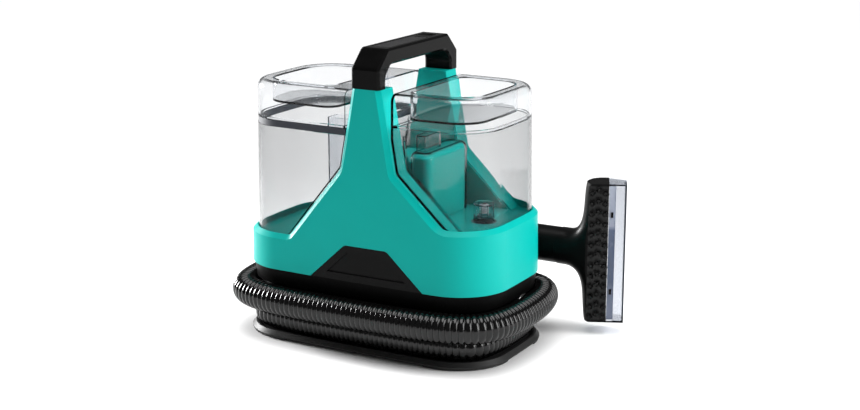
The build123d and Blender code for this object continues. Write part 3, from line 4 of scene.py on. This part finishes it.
import bpy
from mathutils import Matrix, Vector


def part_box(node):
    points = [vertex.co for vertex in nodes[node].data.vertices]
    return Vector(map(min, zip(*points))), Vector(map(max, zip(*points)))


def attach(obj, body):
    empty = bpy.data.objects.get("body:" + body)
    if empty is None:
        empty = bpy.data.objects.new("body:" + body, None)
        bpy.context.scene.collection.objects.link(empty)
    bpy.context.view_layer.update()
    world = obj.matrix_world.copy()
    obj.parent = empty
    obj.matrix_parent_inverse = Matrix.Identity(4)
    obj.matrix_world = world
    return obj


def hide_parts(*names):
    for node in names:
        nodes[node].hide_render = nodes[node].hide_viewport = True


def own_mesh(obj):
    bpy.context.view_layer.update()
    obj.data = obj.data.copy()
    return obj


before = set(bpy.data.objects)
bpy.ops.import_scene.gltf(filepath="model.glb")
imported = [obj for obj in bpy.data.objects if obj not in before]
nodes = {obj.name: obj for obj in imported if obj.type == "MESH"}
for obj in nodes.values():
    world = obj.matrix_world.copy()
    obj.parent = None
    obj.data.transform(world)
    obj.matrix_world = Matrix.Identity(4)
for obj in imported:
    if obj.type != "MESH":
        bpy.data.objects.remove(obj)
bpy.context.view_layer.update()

# Centre of the body on the floor, and the scale from millimetres
base_low, base_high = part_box("base_plate")
CENTRE = Vector(((base_low.x + base_high.x) / 2, (base_low.y + base_high.y) / 2, 0))
MM = 0.001
UPWARD = Vector((0, 0, 1))

# Sizes repeated from the part's source, in millimetres and degrees
BODY_HALF_LENGTH = 165.0
BODY_HALF_DEPTH = 93.8
BODY_CORNER_RADIUS = 60.0
TOOL_Y = 119.0
TOOL_Z = 98.2
FACE_START = (200.6, 98.0)
FACE_WIDTH = 46.0
FACE_ANGLE = math.radians(24.0)


def place(x, y, z):
    """Point given in millimetres from the body's centre on the floor."""
    return CENTRE + Vector((x, y, z)) * MM


def add_object(name, data):
    thing = bpy.data.objects.new(name, data)
    bpy.context.scene.collection.objects.link(thing)
    return thing


def turn_to(thing, target):
    """Turns a lamp or the camera to look at a point."""
    thing.rotation_euler = (target - thing.location).to_track_quat("-Z", "Y").to_euler()


# Material helpers. Noise scales are per metre and relief is in millimetres

NOISE_DETAIL = 3.0
NOISE_ROUGHNESS = 0.55
NOISE_RANGE = (0.3, 0.7)
SHADE_SCALE = 22.0
GLOSS_SCALE = 60.0
SMOOTHER_BY = 0.04
ROUGHER_BY = 0.05
GRAIN_DETAIL = 2.0
GRAIN_STRENGTH = 0.35
COAT_ROUGHNESS = 0.06
METAL_GRAIN = 900.0
METAL_RELIEF = 0.03

# Lower than in real plastic, so that reflections of the white floor don't hide what is inside
CLEAR_IOR = 1.18
CLEAR_ROUGHNESS = (0.018, 0.048)
CLEAR_GLOSS_SCALE = 40.0
WAVE_SCALE = 14.0
WAVE_DETAIL = 1.0
WAVE_STRENGTH = 0.25
WAVE_RELIEF = 0.02


def grey(level):
    return (level, level, level)


def new_material(name):
    mat = bpy.data.materials.new(name)
    mat.use_nodes = True
    tree = mat.node_tree
    return mat, tree, tree.nodes["Principled BSDF"]


def noise(tree, scale, detail=NOISE_DETAIL):
    """Noise in the piece's own coordinates."""
    coords = tree.nodes.new("ShaderNodeTexCoord")
    tex = tree.nodes.new("ShaderNodeTexNoise")
    tex.inputs["Scale"].default_value = scale
    tex.inputs["Detail"].default_value = detail
    tex.inputs["Roughness"].default_value = NOISE_ROUGHNESS
    tree.links.new(coords.outputs["Object"], tex.inputs["Vector"])
    return tex.outputs["Fac"]


def vary(tree, value, low, high, socket):
    """Feeds a socket with a noise value, spread between low and high."""
    spread = tree.nodes.new("ShaderNodeMapRange")
    spread.inputs["From Min"].default_value = NOISE_RANGE[0]
    spread.inputs["From Max"].default_value = NOISE_RANGE[1]
    spread.inputs["To Min"].default_value = low
    spread.inputs["To Max"].default_value = high
    tree.links.new(value, spread.inputs["Value"])
    tree.links.new(spread.outputs["Result"], socket)


def tint(tree, shader, value, dark, light):
    """Base colour that drifts softly between two near shades."""
    mix = tree.nodes.new("ShaderNodeMix")
    mix.data_type = "RGBA"
    mix.inputs["A"].default_value = (*dark, 1)
    mix.inputs["B"].default_value = (*light, 1)
    tree.links.new(value, mix.inputs["Factor"])
    tree.links.new(mix.outputs["Result"], shader.inputs["Base Color"])


def bump(tree, shader, height, strength, relief, invert=False):
    node = tree.nodes.new("ShaderNodeBump")
    node.invert = invert
    node.inputs["Strength"].default_value = strength
    node.inputs["Distance"].default_value = relief * MM
    tree.links.new(height, node.inputs["Height"])
    tree.links.new(node.outputs["Normal"], shader.inputs["Normal"])


def moulded(name, dark, light, rough, grain, relief, coat=0.0, specular=0.5):
    """Moulded plastic, rubber or metal skin: drifting shade, patchy gloss and a fine grain."""
    mat, tree, shader = new_material(name)
    tint(tree, shader, noise(tree, SHADE_SCALE), dark, light)
    vary(tree, noise(tree, GLOSS_SCALE), rough - SMOOTHER_BY, rough + ROUGHER_BY, shader.inputs["Roughness"])
    bump(tree, shader, noise(tree, grain, GRAIN_DETAIL), GRAIN_STRENGTH, relief)
    shader.inputs["Coat Weight"].default_value = coat
    shader.inputs["Coat Roughness"].default_value = COAT_ROUGHNESS
    shader.inputs["Specular IOR Level"].default_value = specular
    return mat


def metal(name, dark, light, rough):
    mat = moulded(name, dark, light, rough, METAL_GRAIN, METAL_RELIEF)
    mat.node_tree.nodes["Principled BSDF"].inputs["Metallic"].default_value = 1.0
    return mat


def clear(name, absorb, density, shade):
    """Clear moulded plastic whose tint comes from its thickness, and whose shadow lets light through."""
    mat, tree, shader = new_material(name)
    through = tree.nodes.new("ShaderNodeBsdfTransparent")
    through.inputs["Color"].default_value = (*shade, 1)
    rays = tree.nodes.new("ShaderNodeLightPath")
    mix = tree.nodes.new("ShaderNodeMixShader")
    tree.links.new(rays.outputs["Is Shadow Ray"], mix.inputs[0])
    tree.links.new(shader.outputs["BSDF"], mix.inputs[1])
    tree.links.new(through.outputs["BSDF"], mix.inputs[2])
    tree.links.new(mix.outputs["Shader"], tree.nodes["Material Output"].inputs["Surface"])
    shader.inputs["Base Color"].default_value = (1, 1, 1, 1)
    shader.inputs["Transmission Weight"].default_value = 1.0
    shader.inputs["IOR"].default_value = CLEAR_IOR
    vary(tree, noise(tree, CLEAR_GLOSS_SCALE), *CLEAR_ROUGHNESS, shader.inputs["Roughness"])
    bump(tree, shader, noise(tree, WAVE_SCALE, WAVE_DETAIL), WAVE_STRENGTH, WAVE_RELIEF)
    body = tree.nodes.new("ShaderNodeVolumeAbsorption")
    body.inputs["Color"].default_value = (*absorb, 1)
    body.inputs["Density"].default_value = density
    tree.links.new(body.outputs["Volume"], tree.nodes["Material Output"].inputs["Volume"])
    return mat


# Materials, as name, dark and light shade and roughness, and except for metals grain and relief

TEAL = moulded("teal_plastic", (0.0, 0.36, 0.32), (0.0, 0.39, 0.345), 0.36, 1400.0, 0.02, specular=0.1)
GLOSS_BLACK = moulded("gloss_black", grey(0.003), grey(0.004), 0.16, 500.0, 0.008, coat=0.02, specular=0.06)
# Darker copy of the satin black: painted shade for the housing under the shell
SHADED_HOUSING_BLACK = moulded("shaded_housing_black", grey(0.001), grey(0.002), 0.40, 1800.0, 0.06, specular=0.04)
SATIN_BLACK = moulded("satin_black", grey(0.003), grey(0.005), 0.40, 1800.0, 0.06, specular=0.08)
BASE_BLACK = moulded("base_black", grey(0.014), grey(0.019), 0.46, 1600.0, 0.06, specular=0.25)
TOOL_BLACK = moulded("tool_black", grey(0.002), grey(0.003), 0.34, 1500.0, 0.04, specular=0.07)
HOSE_BLACK = moulded("hose_black", grey(0.002), grey(0.003), 0.13, 700.0, 0.01, specular=0.34)
SEAL = moulded("seal_rubber", (0.008, 0.011, 0.02), (0.014, 0.018, 0.03), 0.5, 900.0, 0.04)
FOOT = moulded("foot_rubber", grey(0.018), grey(0.028), 0.7, 1200.0, 0.08)
STEEL = metal("zinc_steel", (0.5, 0.5, 0.51), (0.62, 0.62, 0.63), 0.32)
MOTOR = metal("motor_sheet", (0.3, 0.31, 0.32), (0.4, 0.41, 0.42), 0.45)
INNER = moulded("inner_plastic", (0.04, 0.04, 0.043), (0.055, 0.055, 0.058), 0.5, 1100.0, 0.05)
FAN = moulded("fan_plastic", (0.6, 0.6, 0.56), (0.7, 0.7, 0.66), 0.45, 800.0, 0.04)
TUBE = moulded("silicone_tube", (0.5, 0.52, 0.53), (0.6, 0.62, 0.63), 0.4, 600.0, 0.03)
BOARD = moulded("board_green", (0.012, 0.12, 0.05), (0.02, 0.17, 0.07), 0.4, 400.0, 0.05)
FOAM = moulded("filter_foam", (0.02, 0.02, 0.022), (0.06, 0.06, 0.062), 0.85, 700.0, 0.8)
BRISTLE = moulded("bristle_nylon", grey(0.003), grey(0.004), 0.3, 900.0, 0.03, specular=0.25)
WHITE = moulded("white_plastic", (0.66, 0.66, 0.63), (0.74, 0.74, 0.71), 0.35, 900.0, 0.03)

# Clear materials, as name, colour let through, density and shade of the shadow

TANK = clear("tank_plastic", (0.50, 0.51, 0.52), 220.0, grey(0.96))
LID = clear("lid_plastic", (0.42, 0.50, 0.60), 28.0, grey(0.97))
SMOKE = clear("smoke_plastic", (0.50, 0.56, 0.66), 120.0, (0.74, 0.76, 0.80))
WINDOW = clear("window_plastic", (0.46, 0.49, 0.55), 300.0, (0.78, 0.82, 0.88))

# Rubber of the grip's inlay

INLAY_SHADE_SCALE = 40.0
INLAY_GLOSS_SCALE = 80.0
INLAY_ROUGHNESS = (0.5, 0.62)
INLAY_DOT_SCALE = 420.0
INLAY_STRENGTH = 0.7
INLAY_RELIEF = 0.5


def dotted_rubber():
    """Grip inlay: rows of small raised dots."""
    mat, tree, shader = new_material("inlay_rubber")
    tint(tree, shader, noise(tree, INLAY_SHADE_SCALE), (0.010, 0.010, 0.011), (0.016, 0.016, 0.017))
    vary(tree, noise(tree, INLAY_GLOSS_SCALE), *INLAY_ROUGHNESS, shader.inputs["Roughness"])
    coords = tree.nodes.new("ShaderNodeTexCoord")
    dots = tree.nodes.new("ShaderNodeTexVoronoi")
    dots.inputs["Scale"].default_value = INLAY_DOT_SCALE
    dots.inputs["Randomness"].default_value = 0.0
    tree.links.new(coords.outputs["Object"], dots.inputs["Vector"])
    bump(tree, shader, dots.outputs["Distance"], INLAY_STRENGTH, INLAY_RELIEF, invert=True)
    return mat


INLAY = dotted_rubber()


# Material of each solid in the frame

DRESS = [
    (TEAL, ["main_shell", "intake_tower"]),
    (GLOSS_BLACK, ["carry_handle", "power_button"]),
    (SHADED_HOUSING_BLACK, ["lower_housing"]),
    (SATIN_BLACK, ["front_trim_panel", "hose_port", "cord_gland", "tool_cradle"]),
    (BASE_BLACK, ["base_plate"]),
    (TOOL_BLACK, ["nozzle_hood", "tool_neck", "hose_cuff", "grip_upper", "grip_lower", "trigger",
                  "release_button"]),
    (INLAY, ["handle_grip_inlay"]),
    (TANK, ["dirty_tank", "clean_tank"]),
    (LID, ["dirty_lid", "clean_lid", "clean_vent_box"]),
    (SMOKE, ["dirty_riser", "float_cage", "clean_valve_seat", "clean_valve_poppet"]),
    (WINDOW, ["nozzle_window"]),
    (SEAL, ["airway_seal", "dirty_lid_seal", "spigot_seal", "dock_seal", "neck_seal"]),
    (FOOT, ["rubber_feet"]),
    (STEEL, ["base_screws", "tower_screws", "handle_screws", "motor_shaft", "trigger_pin",
             "clean_valve_spring"]),
    (MOTOR, ["motor_can", "motor_mount"]),
    (INNER, ["fan_shroud", "inlet_duct", "pump_body", "pump_head", "pump_bracket", "suction_duct",
             "inlet_spigot", "valve_dock", "spray_valve", "power_switch"]),
    (FAN, ["impeller"]),
    (TUBE, ["supply_tube", "delivery_tube"]),
    (BOARD, ["control_board"]),
    (FOAM, ["exhaust_filter"]),
    (BRISTLE, ["brush_strip"]),
    (WHITE, ["float_ball"]),
    (HOSE_BLACK, ["suction_hose"]),
]
for finish, names in DRESS:
    for name in names:
        piece = nodes[name]
        piece.data.materials.clear()
        piece.data.materials.append(finish)


def add_piece(name, verts, faces, mat, body):
    """Adds a smooth mesh that rides on one of the frame's bodies."""
    mesh = bpy.data.meshes.new(name)
    mesh.from_pydata(verts, [], faces)
    mesh.shade_smooth()
    mesh.materials.append(mat)
    piece = add_object(name, mesh)
    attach(piece, body)
    return piece


# Corrugated hose that follows the plain solid's route, in millimetres and degrees

HOSE_RADIUS = 17.0
HALF_BEND = 22.5
UPPER_TURN_OUT = 8.0
UPPER_TURN_Z = 51.0
HOSE_RISE = 6.0
LOWER_TURN_INSET = 18.5
LOWER_TURN_Z = 22.6
HOSE_BOW = 3.0
CORNERS_PER_TURN = 8
FRONT_CORNER = 4
ROUTE_DETAIL = 40
HOSE_SIDES = 32
RIB_PITCH = 6.3
RIB_DEPTH = 2.4
RIB_STEPS = 8


def turn_points(out, heights):
    """Corners of one hose turn round the well, two to each body corner, from the rear left."""
    reach = (BODY_CORNER_RADIUS + out) / math.cos(math.radians(HALF_BEND))
    straight_x = BODY_HALF_LENGTH - BODY_CORNER_RADIUS
    straight_y = BODY_HALF_DEPTH - BODY_CORNER_RADIUS
    points = []
    for k, z in enumerate(heights):
        angle = math.radians(90 + HALF_BEND + 2 * HALF_BEND * k)
        x = math.copysign(straight_x, math.cos(angle)) + reach * math.cos(angle)
        y = math.copysign(straight_y, math.sin(angle)) + reach * math.sin(angle)
        points.append((x, y, z))
    points.insert(FRONT_CORNER, (0, -BODY_HALF_DEPTH - out - HOSE_BOW, heights[FRONT_CORNER]))
    return points


def hose_route():
    """From the tool's cuff, once round above, once round below, to the port at the rear."""
    rear_out = BODY_HALF_DEPTH + UPPER_TURN_OUT
    rear_in = BODY_HALF_DEPTH - LOWER_TURN_INSET
    points = [(-34, TOOL_Y, TOOL_Z), (-50, TOOL_Y, TOOL_Z), (-68, TOOL_Y, 98.0)]
    upper_heights = [UPPER_TURN_Z + HOSE_RISE] + [UPPER_TURN_Z] * (CORNERS_PER_TURN - 1)
    points += turn_points(UPPER_TURN_OUT, upper_heights)
    points.append((-51, rear_out, UPPER_TURN_Z))
    points += turn_points(-LOWER_TURN_INSET, [LOWER_TURN_Z] * CORNERS_PER_TURN)
    points += [(40, rear_in, LOWER_TURN_Z), (1, rear_in, LOWER_TURN_Z)]
    return [place(*point) for point in points]


def smooth_line(points):
    """Points read from one smooth spline with the route's points as its control points."""
    curve = bpy.data.curves.new("hose_route", "CURVE")
    curve.dimensions = "3D"
    spline = curve.splines.new("NURBS")
    spline.points.add(len(points) - 1)
    for control, point in zip(spline.points, points):
        control.co = (*point, 1)
    spline.order_u = 3
    spline.use_endpoint_u = True
    spline.resolution_u = ROUTE_DETAIL
    holder = add_object("hose_route", curve)
    bpy.context.view_layer.update()
    mesh = bpy.data.meshes.new_from_object(holder)
    line = [vert.co.copy() for vert in mesh.vertices]
    bpy.data.objects.remove(holder)
    bpy.data.curves.remove(curve)
    bpy.data.meshes.remove(mesh)
    return line


def even_steps(line, step):
    """The same line walked in equal steps, as (point, direction, distance)."""
    walked = []
    run = 0.0
    due = 0.0
    for a, b in zip(line, line[1:]):
        length = (b - a).length
        while length > 0 and due <= run + length:
            walked.append((a.lerp(b, (due - run) / length), (b - a).normalized(), due))
            due += step
        run += length
    return walked


def rib_radius(turns):
    """Radius of the hose wall: half-round ribs with sharp grooves between them."""
    across = 2 * (turns % 1) - 1
    return HOSE_RADIUS - RIB_DEPTH * (1 - math.sqrt(1 - across ** 2))


def make_hose():
    verts = []
    faces = []
    side = None
    steps = even_steps(smooth_line(hose_route()), RIB_PITCH / RIB_STEPS * MM)
    for ring, (point, ahead, distance) in enumerate(steps):
        side = UPWARD.cross(ahead) if side is None else side - ahead * side.dot(ahead)
        side.normalize()
        up = ahead.cross(side)
        radius = rib_radius(distance / (RIB_PITCH * MM)) * MM
        for k in range(HOSE_SIDES):
            angle = 2 * math.pi * k / HOSE_SIDES
            verts.append(point + side * (radius * math.cos(angle)) + up * (radius * math.sin(angle)))
            if ring:
                last = (ring - 1) * HOSE_SIDES
                now = ring * HOSE_SIDES
                turn = (k + 1) % HOSE_SIDES
                faces.append((last + k, last + turn, now + turn, now + k))
    hose = add_piece("corrugated_hose", verts, faces, HOSE_BLACK, "machine")
    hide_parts("suction_hose")


make_hose()


# Places on the nozzle's working face

ACROSS = Vector((math.cos(FACE_ANGLE), math.sin(FACE_ANGLE), 0))
OUTWARD = Vector((math.sin(FACE_ANGLE), -math.cos(FACE_ANGLE), 0))
FACE_CENTRE = place(FACE_START[0] + FACE_WIDTH / 2 * math.cos(FACE_ANGLE),
                    FACE_START[1] + FACE_WIDTH / 2 * math.sin(FACE_ANGLE), TOOL_Z)


def face_point(u, v, w):
    """Point in millimetres across, up and out of the nozzle's working face."""
    return FACE_CENTRE + (ACROSS * u + UPWARD * v + OUTWARD * w) * MM


# Bristle tufts standing on the brush strip

BRUSH_ACROSS = (-20.5, 2.7)
BRUSH_TALL = 81.0
TUFT_COLUMNS = 3
TUFT_ROWS = 13
TUFT_STAGGER = 1 / 8
TUFT_RADIUS = 3.7
TUFT_BRISTLES = 100
BRISTLE_SEED = 7
BRISTLE_LENGTHS = (3.6, 4.8)
BRISTLE_LEANS = (0.1, 0.35)
BRISTLE_ROOT = -1.2
ROOT_RADIUS = 0.2
TIP_RADIUS = 0.12
BRISTLE_SIDES = 3


def tuft_centres():
    """Middles of the tufts, in columns that are shifted up and down by turns."""
    left, right = BRUSH_ACROSS
    step = 2 * BRUSH_TALL / TUFT_ROWS
    centres = []
    for i in range(TUFT_COLUMNS):
        u = left + (i + 0.5) * (right - left) / TUFT_COLUMNS
        shift = step * TUFT_STAGGER if i % 2 else -step * TUFT_STAGGER
        centres += [(u, -BRUSH_TALL + (j + 0.5) * step + shift) for j in range(TUFT_ROWS)]
    return centres


def bristle_ring(u, v, w, radius):
    """Corners of a bristle's section at one height."""
    turns = [2 * math.pi * corner / BRISTLE_SIDES for corner in range(BRISTLE_SIDES)]
    return [face_point(u + radius * math.cos(turn), v + radius * math.sin(turn), w) for turn in turns]


def bristle_faces(start):
    """Sides and tip of a bristle whose corners begin at start."""
    tip = start + BRISTLE_SIDES
    faces = []
    for corner in range(BRISTLE_SIDES):
        turn = (corner + 1) % BRISTLE_SIDES
        faces.append((start + corner, start + turn, tip + turn, tip + corner))
    faces.append(tuple(range(tip, tip + BRISTLE_SIDES)))
    return faces


def make_bristles():
    rng = random.Random(BRISTLE_SEED)
    verts = []
    faces = []
    for u, v in tuft_centres():
        for _ in range(TUFT_BRISTLES):
            spread = TUFT_RADIUS * math.sqrt(rng.random())
            angle = rng.random() * 2 * math.pi
            du = spread * math.cos(angle)
            dv = spread * math.sin(angle)
            length = rng.uniform(*BRISTLE_LENGTHS)
            lean = rng.uniform(*BRISTLE_LEANS)
            faces += bristle_faces(len(verts))
            verts += bristle_ring(u + du, v + dv, BRISTLE_ROOT, ROOT_RADIUS)
            verts += bristle_ring(u + du * (1 + lean), v + dv * (1 + lean), length, TIP_RADIUS)
    add_piece("bristle_tufts", verts, faces, BRISTLE, "nozzle")


make_bristles()


# Liner with painted light and shade, and catches, behind the nozzle window's slot

# Tints by height from the top of the slot: painted light at the top, painted shade of the airway in the
# middle
LINER_LIGHT_AND_SHADE = [(0.0, (0.42, 0.45, 0.52)), (0.30, (0.34, 0.37, 0.46)), (0.33, (0.08, 0.11, 0.19)),
               (0.72, (0.07, 0.10, 0.17)), (0.77, (0.13, 0.16, 0.24)), (1.0, (0.17, 0.20, 0.28))]
LINER_GLOSS_SCALE = 90.0
LINER_ROUGHNESS = (0.18, 0.3)
LINER_GRAIN = 300.0
LINER_GRAIN_DETAIL = 1.0
LINER_STRENGTH = 0.2
LINER_RELIEF = 0.02
SLOT = (3.2, 10.8)
SLOT_TALL = 81.2
LINER_DEPTH = (-6.2, -5.2)
CATCH_SIZE = (2.6, 6.0)
CATCH_DEPTH = (-5.1, -3.4)
CATCH_HEIGHTS = {"upper_catch": 46.0, "lower_catch": -47.0}


def painted_light_liner():
    """Liner of the suction slot with painted light and shade: pale with painted light at the top, dark with
    painted shade in the middle and a little paler below.
    """
    mat, tree, shader = new_material("painted_light_liner")
    coords = tree.nodes.new("ShaderNodeTexCoord")
    split = tree.nodes.new("ShaderNodeSeparateXYZ")
    ramp = tree.nodes.new("ShaderNodeValToRGB")
    tree.links.new(coords.outputs["Generated"], split.inputs["Vector"])
    flip = tree.nodes.new("ShaderNodeMath")
    flip.operation = "SUBTRACT"
    flip.inputs[0].default_value = 1.0
    tree.links.new(split.outputs["Z"], flip.inputs[1])
    tree.links.new(flip.outputs["Value"], ramp.inputs["Fac"])
    stops = ramp.color_ramp.elements
    while len(stops) < len(LINER_LIGHT_AND_SHADE):
        stops.new(0.5)
    for stop, (spot, colour) in zip(stops, LINER_LIGHT_AND_SHADE):
        stop.position = spot
        stop.color = (*colour, 1)
    tree.links.new(ramp.outputs["Color"], shader.inputs["Base Color"])
    vary(tree, noise(tree, LINER_GLOSS_SCALE), *LINER_ROUGHNESS, shader.inputs["Roughness"])
    bump(tree, shader, noise(tree, LINER_GRAIN, LINER_GRAIN_DETAIL), LINER_STRENGTH, LINER_RELIEF)
    return mat


def face_block(u, v, w):
    """Corners and faces of a box given by its ranges across, up and out of the nozzle's working face."""
    corners = [face_point(a, b, c) for a in u for b in v for c in w]
    return corners, [(0, 1, 3, 2), (4, 6, 7, 5), (0, 4, 5, 1), (2, 3, 7, 6), (0, 2, 6, 4), (1, 5, 7, 3)]


def around(middle, size):
    return (middle - size / 2, middle + size / 2)


def make_window_details():
    verts, faces = face_block(SLOT, (-SLOT_TALL, SLOT_TALL), LINER_DEPTH)
    liner = add_piece("painted_window_liner", verts, faces, painted_light_liner(), "nozzle")
    liner.data.shade_flat()
    across = around(sum(SLOT) / 2, CATCH_SIZE[0])
    for name, height in CATCH_HEIGHTS.items():
        verts, faces = face_block(across, around(height, CATCH_SIZE[1]), CATCH_DEPTH)
        add_piece(name, verts, faces, TOOL_BLACK, "nozzle").data.shade_flat()


make_window_details()


# Valve spring, copied from the part's spring onto the clean tank

def make_valve_spring():
    spring = add_object("valve_spring_coil", nodes["clean_valve_spring"].data.copy())
    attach(spring, "clean_tank")
    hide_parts("clean_valve_spring")
    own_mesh(spring)


make_valve_spring()


# Floor, light and camera. Lamps and floor are in metres, the camera's places in millimetres

FLOOR_HALF = 30.0
WORLD_STRENGTH = 0.13
SENSOR_WIDTH = 36.0
LENS = 66.61
CAMERA_PLACE = (911.2, -1546.9, 609.0)
CAMERA_AIM = (36.7, 20.5, 153.65)


def make_floor():
    mesh = bpy.data.meshes.new("floor")
    corners = [(-1, -1), (1, -1), (1, 1), (-1, 1)]
    mesh.from_pydata([(x * FLOOR_HALF, y * FLOOR_HALF, 0) for x, y in corners], [], [(0, 1, 2, 3)])
    mesh.materials.append(moulded("floor_paper", grey(0.95), grey(0.96), 0.8, 60.0, 0.2))
    floor = add_object("floor", mesh)


def soft_light(name, spot, aim, width, height, watts, spread=180.0):
    data = bpy.data.lights.new(name, "AREA")
    data.shape = "RECTANGLE"
    data.size = width
    data.size_y = height
    data.energy = watts
    data.spread = math.radians(spread)
    lamp = add_object(name, data)
    lamp.location = CENTRE + Vector(spot)
    turn_to(lamp, CENTRE + Vector(aim))


def sky_light(strength, spread):
    """Even light from straight above, so that the floor is equally bright all over."""
    data = bpy.data.lights.new("sky", "SUN")
    data.energy = strength
    data.angle = math.radians(spread)
    add_object("sky", data)


def make_world():
    world = bpy.data.worlds.new("studio")
    world.use_nodes = True
    background = world.node_tree.nodes["Background"]
    background.inputs["Color"].default_value = (1, 1, 1, 1)
    background.inputs["Strength"].default_value = WORLD_STRENGTH
    bpy.context.scene.world = world
    bpy.context.scene.view_settings.view_transform = "Standard"


def make_camera():
    data = bpy.data.cameras.new("photo_camera")
    data.sensor_width = SENSOR_WIDTH
    data.lens = LENS
    camera = add_object("photo_camera", data)
    camera.location = place(*CAMERA_PLACE)
    turn_to(camera, place(*CAMERA_AIM))
    bpy.context.scene.camera = camera


make_floor()
sky_light(strength=3.0, spread=50.0)
soft_light("right_softbox", spot=(1.7, 0.35, 0.75), aim=(0, 0, 0.18), width=1.0, height=1.3, watts=36)
soft_light("left_softbox", spot=(-1.6, 0.1, 0.4), aim=(-0.1, 0, 0.13), width=0.5, height=0.5, watts=5,
           spread=50.0)
make_world()
make_camera()
